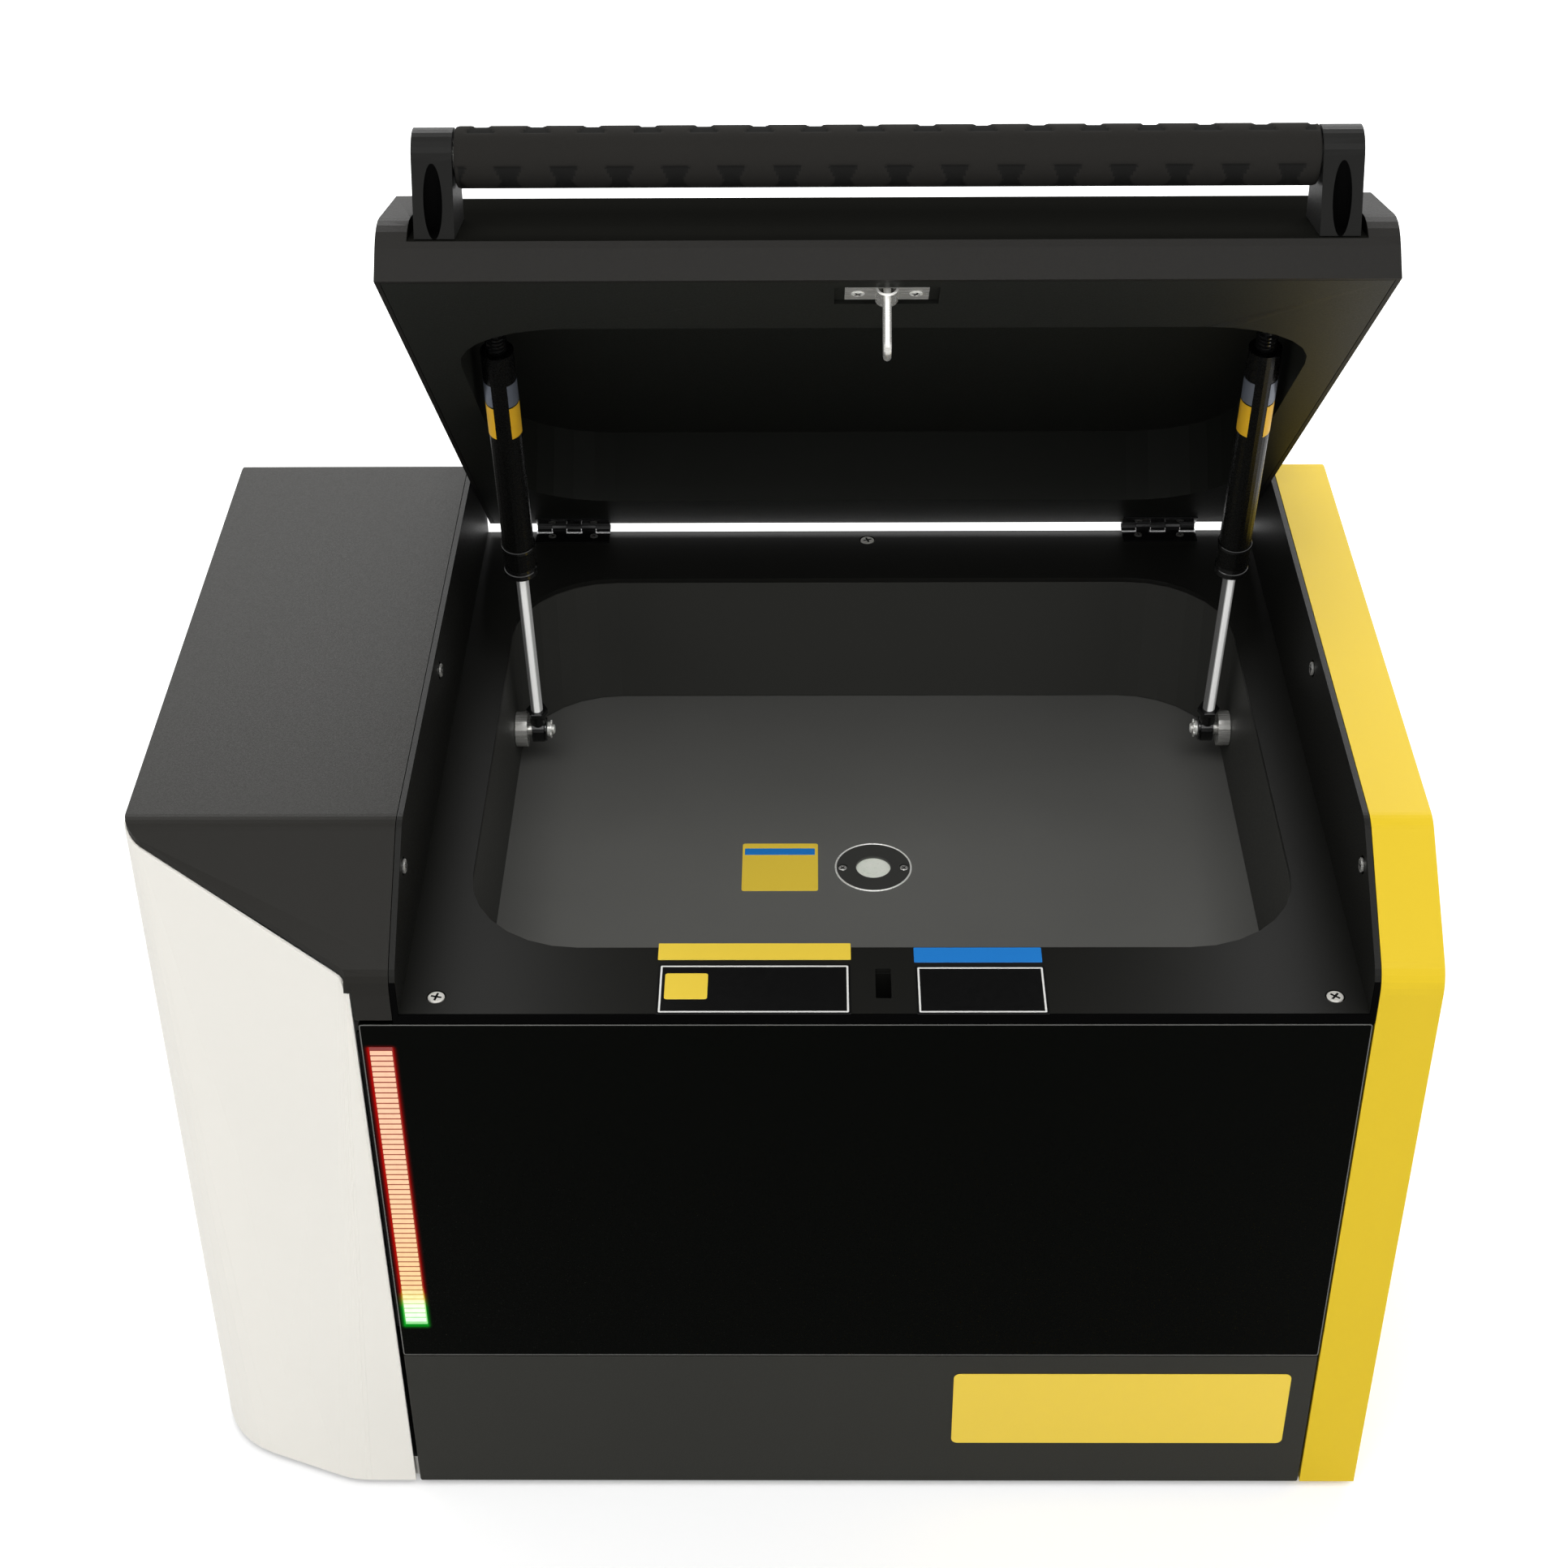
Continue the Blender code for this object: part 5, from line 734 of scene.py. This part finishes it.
flat_label("seat_label_left_header", label_yellow, -0.0506, 0.0318, -0.1594, -0.1486, ON_SEAT)
flat_label("seat_label_left_box", label_black, -0.0500, 0.0315, -0.1942, -0.1626, ON_SEAT)
flat_border("seat_label_left_border", label_white, -0.0500, 0.0315, -0.1942, -0.1626,
            ON_SEAT + LABEL, 0.0008, 0.0009)
flat_label("seat_label_left_patch", label_yellow, -0.0470, -0.0288, -0.1850, -0.1684,
           ON_SEAT + LABEL, 0.0012, INK)
flat_label("seat_label_right_header", label_blue, 0.0587, 0.1133, -0.1612, -0.1515, ON_SEAT)
flat_label("seat_label_right_box", label_black, 0.0590, 0.1140, -0.1943, -0.1638, ON_SEAT)
flat_border("seat_label_right_border", label_white, 0.0590, 0.1140, -0.1943, -0.1638,
            ON_SEAT + LABEL, 0.0008, 0.0009)
flat_label("floor_label", label_yellow, -0.0190, 0.0182, -0.0208, 0.0164, ON_FLOOR, 0.0012)
flat_label("floor_label_bar", label_blue, -0.0179, 0.0167, 0.0072, 0.0124, ON_FLOOR + LABEL,
           0.0003, INK)

bm = bmesh.new()
add_plate(bm, facing((0.1595, FRONT - 0.00005, 0.05275), (0, -1, 0)), width=0.157, depth=0.0485,
          radius=0.003, thick=0.0004)
add_piece("lower_label", bm, label_yellow)

# Window rim: a bright turned lip around the ring
bm = bmesh.new()
add_tube(bm, facing((WINDOW_X, WINDOW_Y, FLOOR), (0, 0, 1)),
         [(0.0180, -0.0004), (0.0180, 0.0003), (0.0182, 0.0005), (0.0187, 0.0005), (0.0189, 0.0003),
          (0.0189, 0.00005)], 72)
add_piece("window_rim", bm, bright)

# Light bar cells
bm = bmesh.new()
CELL_PITCH = 0.00305
cells = int((LIGHT_HIGH - LIGHT_LOW) / CELL_PITCH)
cells_low = (LIGHT_LOW + LIGHT_HIGH - cells * CELL_PITCH) / 2
for i in range(cells):
    z = cells_low + (i + 0.5) * CELL_PITCH
    add_plate(bm, facing((BAR_MIDDLE, FRONT + 0.0009, z), (0, -1, 0)), width=0.0094,
              depth=0.00215, radius=0.0003, thick=0.0004, edge=0.00012)
add_piece("light_bar_cells", bm, cell_light)

# Foam grip with staggered hourglass hollows, whose deeper faces take a darker rubber as painted shade
grip_low, grip_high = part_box("handle_grip")
grip_y = (grip_low.y + grip_high.y) / 2
grip_z = (grip_low.z + grip_high.z) / 2
grip_radius = (grip_high.y - grip_low.y) / 2
GRIP_PITCH = 0.02178
GRIP_START = 0.0211
GRIP_DEPTH = 0.0006
GRIP_END = 0.0016
GRIP_BORE = 0.0076
# Each row of hollows: the turn of its necks, and its shift along the grip in shares of the pitch
GRIP_ROWS = ((-62, 0.0), (163, 0.5), (50, 0.5))


def hollow_share(x, angle):
    """How deep a place lies in the nearest hollow, from 0 on the raised fields to 1."""
    best = 0
    for middle, shift in GRIP_ROWS:
        off = (math.degrees(angle) - middle + 180) % 360 - 180
        round_share = abs(off) / 36
        long_share = x / GRIP_PITCH - shift
        long_share -= round(long_share)
        width = 0.135 + 0.15 * min(round_share, 1) ** 1.2
        across = min(max((width - abs(long_share)) / 0.045 + 0.5, 0), 1)
        along = min(max((1 - round_share) / 0.16, 0), 1)
        best = max(best, across * along)
    return best * best * (3 - 2 * best)


bm = bmesh.new()
sides = 120
length = grip_high.x - grip_low.x
count = 380
end_radii = ((0, grip_radius - 0.0012), (0.0004, grip_radius - 0.0004))
rings = []
stations = [(grip_low.x + inset, radius) for inset, radius in end_radii]
stations += [(grip_low.x + GRIP_END + (length - 2 * GRIP_END) * i / count, None)
             for i in range(count + 1)]
stations += [(grip_high.x - inset, radius) for inset, radius in reversed(end_radii)]
grid_shares = []
for x, radius in stations:
    ring = []
    shares = []
    for i in range(sides):
        angle = 2 * math.pi * i / sides
        share = 0 if radius else hollow_share(x - grip_low.x - GRIP_START, angle)
        r = (radius or grip_radius) - GRIP_DEPTH * share
        shares.append(share)
        ring.append(bm.verts.new((x, grip_y + r * math.sin(angle), grip_z - r * math.cos(angle))))
    rings.append(ring)
    grid_shares.append(shares)
for x in (grip_high.x, grip_low.x):
    ring = []
    for i in range(sides):
        angle = 2 * math.pi * i / sides
        ring.append(bm.verts.new((x, grip_y + GRIP_BORE * math.sin(angle),
                                  grip_z - GRIP_BORE * math.cos(angle))))
    rings.append(ring)
for i, ring in enumerate(rings):
    join_rings(bm, ring, rings[(i + 1) % len(rings)])
bm.faces.ensure_lookup_table()
# Faces deep in a hollow take the second, darker material as painted shade
for i in range(len(stations) - 1):
    for j in range(sides):
        k = (j + 1) % sides
        near = (grid_shares[i][j] + grid_shares[i][k]
                + grid_shares[i + 1][j] + grid_shares[i + 1][k])
        bm.faces[i * sides + j].material_index = int(near > 2)
grip = add_piece("foam_grip", bm, rubber, "lid", smooth=40, second=hollow_rubber)
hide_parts("handle_grip")

# Strut stickers, each a thin wrapped patch
along = (STRUT_HIGH - STRUT_LOW).normalized()


def add_patch(bm, side_x, start, end, first, last, radius=0.00756, thick=0.00012, steps=8):
    """A wrapped patch from one turn angle to another, 0 facing the front and growing to the right."""
    base = Vector((side_x, STRUT_LOW.y, STRUT_LOW.z))
    right = Vector((1, 0, 0))
    front = right.cross(along)
    if front.y > 0:
        front = -front
    grid = []
    for r in (radius, radius + thick):
        row = []
        for i in range(steps + 1):
            angle = math.radians(first + (last - first) * i / steps)
            out = front * math.cos(angle) + right * math.sin(angle)
            row.append([bm.verts.new(base + along * t + out * r) for t in (start, end)])
        grid.append(row)
    inner, outer = grid
    for i in range(steps):
        bm.faces.new((outer[i][0], outer[i][1], outer[i + 1][1], outer[i + 1][0]))
        bm.faces.new((inner[i][0], inner[i + 1][0], inner[i + 1][1], inner[i][1]))
        for end_index in (0, 1):
            bm.faces.new((inner[i][end_index], outer[i][end_index], outer[i + 1][end_index],
                          inner[i + 1][end_index]))
    for i in (0, steps):
        bm.faces.new((inner[i][0], inner[i][1], outer[i][1], outer[i][0]))


for side_name, side_x, way in STRUT_SIDES:
    for part_name, material, start, end in (("amber", label_amber, 0.1985, 0.2160),
                                            ("silver", label_silver, 0.2168, 0.2290)):
        bm = bmesh.new()
        for first, last in ((-88, -28), (28, 88)):
            add_patch(bm, side_x, start, end, first, last)
        add_piece("strut_label_" + part_name + "_" + side_name, bm, material, side_name + "_tube")

# Strut end sleeves, threaded necks and the washers and clips of the lower studs. Each turned row is
# a radius and a height along the axis
THREAD_TURNS, THREAD_PITCH, THREAD_LENGTH = 5, 0.0019, 0.0155
for side_name, side_x, way in STRUT_SIDES:
    base = Vector((side_x, STRUT_LOW.y, STRUT_LOW.z))
    axis = facing(base, along)
    bm = bmesh.new()
    add_tube(bm, axis, [(0.0036, 0.1102), (0.0072, 0.1102), (0.0080, 0.1109), (0.0080, 0.1136),
                        (0.0077, 0.1140), (0.0077, 0.1162), (0.0046, 0.1162)], 48)
    add_piece("strut_mouth_" + side_name, bm, gloss_black, side_name + "_tube")
    bm = bmesh.new()
    add_tube(bm, axis, [(0.0079, 0.1270), (0.0081, 0.1273), (0.0081, 0.1287), (0.0079, 0.1290)], 48)
    add_piece("strut_ring_" + side_name, bm, gloss_black, side_name + "_tube")
    bm = bmesh.new()
    top = (STRUT_HIGH - STRUT_LOW).length
    rows = []
    for i in range(THREAD_TURNS):
        start = top - THREAD_LENGTH + i * THREAD_PITCH
        rows += [(0.0042, start), (0.0049, start + 0.0005), (0.0042, start + 0.0010)]
    add_tube(bm, axis, [(0.0040, rows[0][1])] + rows + [(0.0040, rows[-1][1])], 28)
    add_piece("strut_thread_" + side_name, bm, gloss_black, side_name + "_tube")
    bm = bmesh.new()
    add_tube(bm, axis, [(0.0041, 0.0118), (0.0052, 0.0118), (0.0055, 0.0122), (0.0055, 0.0146),
                        (0.0050, 0.0150), (0.0031, 0.0150), (0.0031, 0.0128)], 6)
    add_piece("strut_nut_" + side_name, bm, gloss_black, side_name + "_rod",
              smooth=20)
    inward = facing(base, (-way, 0, 0), (0, 0, 1))
    bm = bmesh.new()
    add_tube(bm, inward, [(0.0026, 0.0032), (0.0058, 0.0032), (0.0060, 0.0034), (0.0060, 0.0041),
                          (0.0058, 0.0043), (0.0026, 0.0043)], 36)
    add_piece("stud_washer_" + side_name, bm, gloss_black)
    bm = bmesh.new()
    add_tube(bm, inward, [(0.0026, 0.0044), (0.0036, 0.0044), (0.0038, 0.0046), (0.0038, 0.0058),
                          (0.0026, 0.0058)], 30)
    add_clip(bm, inward, 0.0046, 0.0026, 0.0060, 0.0006)
    add_lathe(bm, inward, [(0.0024, 0.0070), (0.0024, 0.0078), (0.0018, 0.0082)], 24)
    add_piece("stud_clip_" + side_name, bm, bright)

# Striker saddle and the plate's screws
SADDLE_STEPS = 12
SADDLE_HALF_LENGTH = 0.0070
bm = bmesh.new()
outer, inner = [], []
for i in range(SADDLE_STEPS + 1):
    angle = math.pi * i / SADDLE_STEPS
    c, s = math.cos(angle), math.sin(angle)
    outer.append((STRIKER_X - 0.0046 * c, STRIKER_FACE - 0.0034 * s))
    inner.append((STRIKER_X - 0.0037 * c, STRIKER_FACE + 0.0001 - 0.0025 * s))
section = outer + inner[::-1]
ends = [[bm.verts.new((x, y, z)) for x, z in section]
        for y in (STRIKER_Y - SADDLE_HALF_LENGTH, STRIKER_Y + SADDLE_HALF_LENGTH)]
join_rings(bm, ends[0], ends[1])
last = 2 * SADDLE_STEPS + 1
for end in ends:
    for i in range(SADDLE_STEPS):
        bm.faces.new((end[i], end[i + 1], end[last - 1 - i], end[last - i]))
add_piece("striker_saddle", bm, steel, "lid", OPENED, smooth=35)
STRIKER_SCREW_REACH = 0.0115
bm = bmesh.new()
for way in (-1, 1):
    x = STRIKER_X + way * STRIKER_SCREW_REACH
    add_screw(bm, facing((x, STRIKER_Y, STRIKER_FACE), (0, 0, -1)), *STRIKER_SCREW, turn=x * 20)
add_piece("striker_screws", bm, bright, "lid", OPENED, second=recess_black)

# Painted highlight: a fine bright grey line round the front glass, in place of the reflection on its
# edge
glass_low, glass_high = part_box("front_glass")
glass_middle = ((glass_low.x + glass_high.x) / 2, FRONT + 0.0001, (glass_low.z + glass_high.z) / 2)
EDGE_INSET = 0.0002
bm = bmesh.new()
add_frame(bm, facing(glass_middle, (0, -1, 0)), glass_high.x - glass_low.x - 2 * EDGE_INSET,
          glass_high.z - glass_low.z - 2 * EDGE_INSET, radius=0.0012, line=0.00045, thick=0.0002)
add_piece("glass_edge", bm, edge_grey)


# Ground
def stage_plane(name, corners, material):
    made = bmesh.new()
    made.faces.new([made.verts.new(corner) for corner in corners])
    mesh = bpy.data.meshes.new(name)
    made.to_mesh(mesh)
    made.free()
    mesh.materials.append(material)
    plane = bpy.data.objects.new(name, mesh)
    bpy.context.scene.collection.objects.link(plane)


# White paint that grows a little brighter to the camera away from the object
LIFT_NEAR, LIFT_FAR = 0.30, 0.60
LIFT_START, LIFT_END = 0.35, 1.8
GROUND_HALF = 6
ground_material = surface("pale_ground", (0.90, 0.90, 0.90), 0.9, specular=0.0, uneven=0.004)
nodes, links = ground_material.node_tree.nodes, ground_material.node_tree.links
path = nodes.new("ShaderNodeLightPath")
place = nodes.new("ShaderNodeTexCoord")
reach = nodes.new("ShaderNodeVectorMath")
reach.operation = "LENGTH"
links.new(place.outputs["Object"], reach.inputs[0])
lift = spread(nodes, links, reach.outputs["Value"], LIFT_NEAR, LIFT_FAR, LIFT_START, LIFT_END)
seen = calculate(nodes, links, "MULTIPLY", lift, path.outputs["Is Camera Ray"])
links.new(seen, nodes["Principled BSDF"].inputs["Emission Strength"])
nodes["Principled BSDF"].inputs["Emission Color"].default_value = (1, 1, 1, 1)
stage_plane("ground", [(x * GROUND_HALF, y * GROUND_HALF, cad_low.z)
                       for x, y in ((-1, -1), (1, -1), (1, 1), (-1, 1))], ground_material)

# Light: an even world, white behind the object, and wide soft lamps
WORLD_LIGHT, WORLD_SEEN = 0.45, 1.0
world = bpy.data.worlds.new("studio")
bpy.context.scene.world = world
world.use_nodes = True
nodes, links = world.node_tree.nodes, world.node_tree.links
back = nodes["Background"]
path = nodes.new("ShaderNodeLightPath")
mix = nodes.new("ShaderNodeMix")
mix.data_type = "FLOAT"
shown = calculate(nodes, links, "MAXIMUM", path.outputs["Is Camera Ray"],
                  path.outputs["Is Glossy Ray"])
shown = calculate(nodes, links, "MAXIMUM", shown, path.outputs["Is Transmission Ray"])
links.new(shown, mix.inputs["Factor"])
mix.inputs["A"].default_value = WORLD_LIGHT
mix.inputs["B"].default_value = WORLD_SEEN
links.new(mix.outputs["Result"], back.inputs["Strength"])
back.inputs["Color"].default_value = (1, 1, 1, 1)


def add_lamp(name, place, target, width, depth, power):
    data = bpy.data.lights.new(name, "AREA")
    data.shape = "RECTANGLE"
    data.size = width
    data.size_y = depth
    data.energy = power
    lamp = bpy.data.objects.new(name, data)
    lamp.location = place
    aim = Vector(target) - Vector(place)
    lamp.rotation_euler = aim.to_track_quat("-Z", "Y").to_euler()
    bpy.context.scene.collection.objects.link(lamp)


add_lamp("front_top", (0, -1.1, 2.3), (0, 0, 0.25), width=2.0, depth=1.2, power=26)
add_lamp("back_soft", (0, 2.5, 2.05), (0, 0, 0.3), width=3.6, depth=1.2, power=84)
add_lamp("key_left", (-1.7, -1.7, 1.9), (0, 0, 0.25), width=1.3, depth=1.3, power=8)
add_lamp("key_right", (1.7, -1.7, 1.9), (0, 0, 0.25), width=1.3, depth=1.3, power=7)

# Camera, solved from the photograph
PITCH, YAW, ROLL = 0.63945784, -0.01308165, 0.00932059
STATION = (0.0153165, -1.0277176, 1.0386582)
FOCAL_LENGTH = 61.2293
sin_p, cos_p = math.sin(PITCH), math.cos(PITCH)
sin_y, cos_y = math.sin(YAW), math.cos(YAW)
sin_r, cos_r = math.sin(ROLL), math.cos(ROLL)
forward = Vector((sin_y * cos_p, cos_y * cos_p, -sin_p))
across = Vector((cos_y, -sin_y, 0))
down = forward.cross(across)
view_right = across * cos_r + down * sin_r
view_down = down * cos_r - across * sin_r
camera_data = bpy.data.cameras.new("view")
camera_data.sensor_width = 36
camera_data.lens = FOCAL_LENGTH
camera_data.clip_end = 50
camera = bpy.data.objects.new("view", camera_data)
turn = Matrix((view_right, -view_down, -forward)).transposed().to_4x4()
camera.matrix_world = Matrix.Translation(STATION) @ turn
bpy.context.scene.collection.objects.link(camera)
bpy.context.scene.camera = camera
bpy.context.scene.view_settings.view_transform = "Standard"
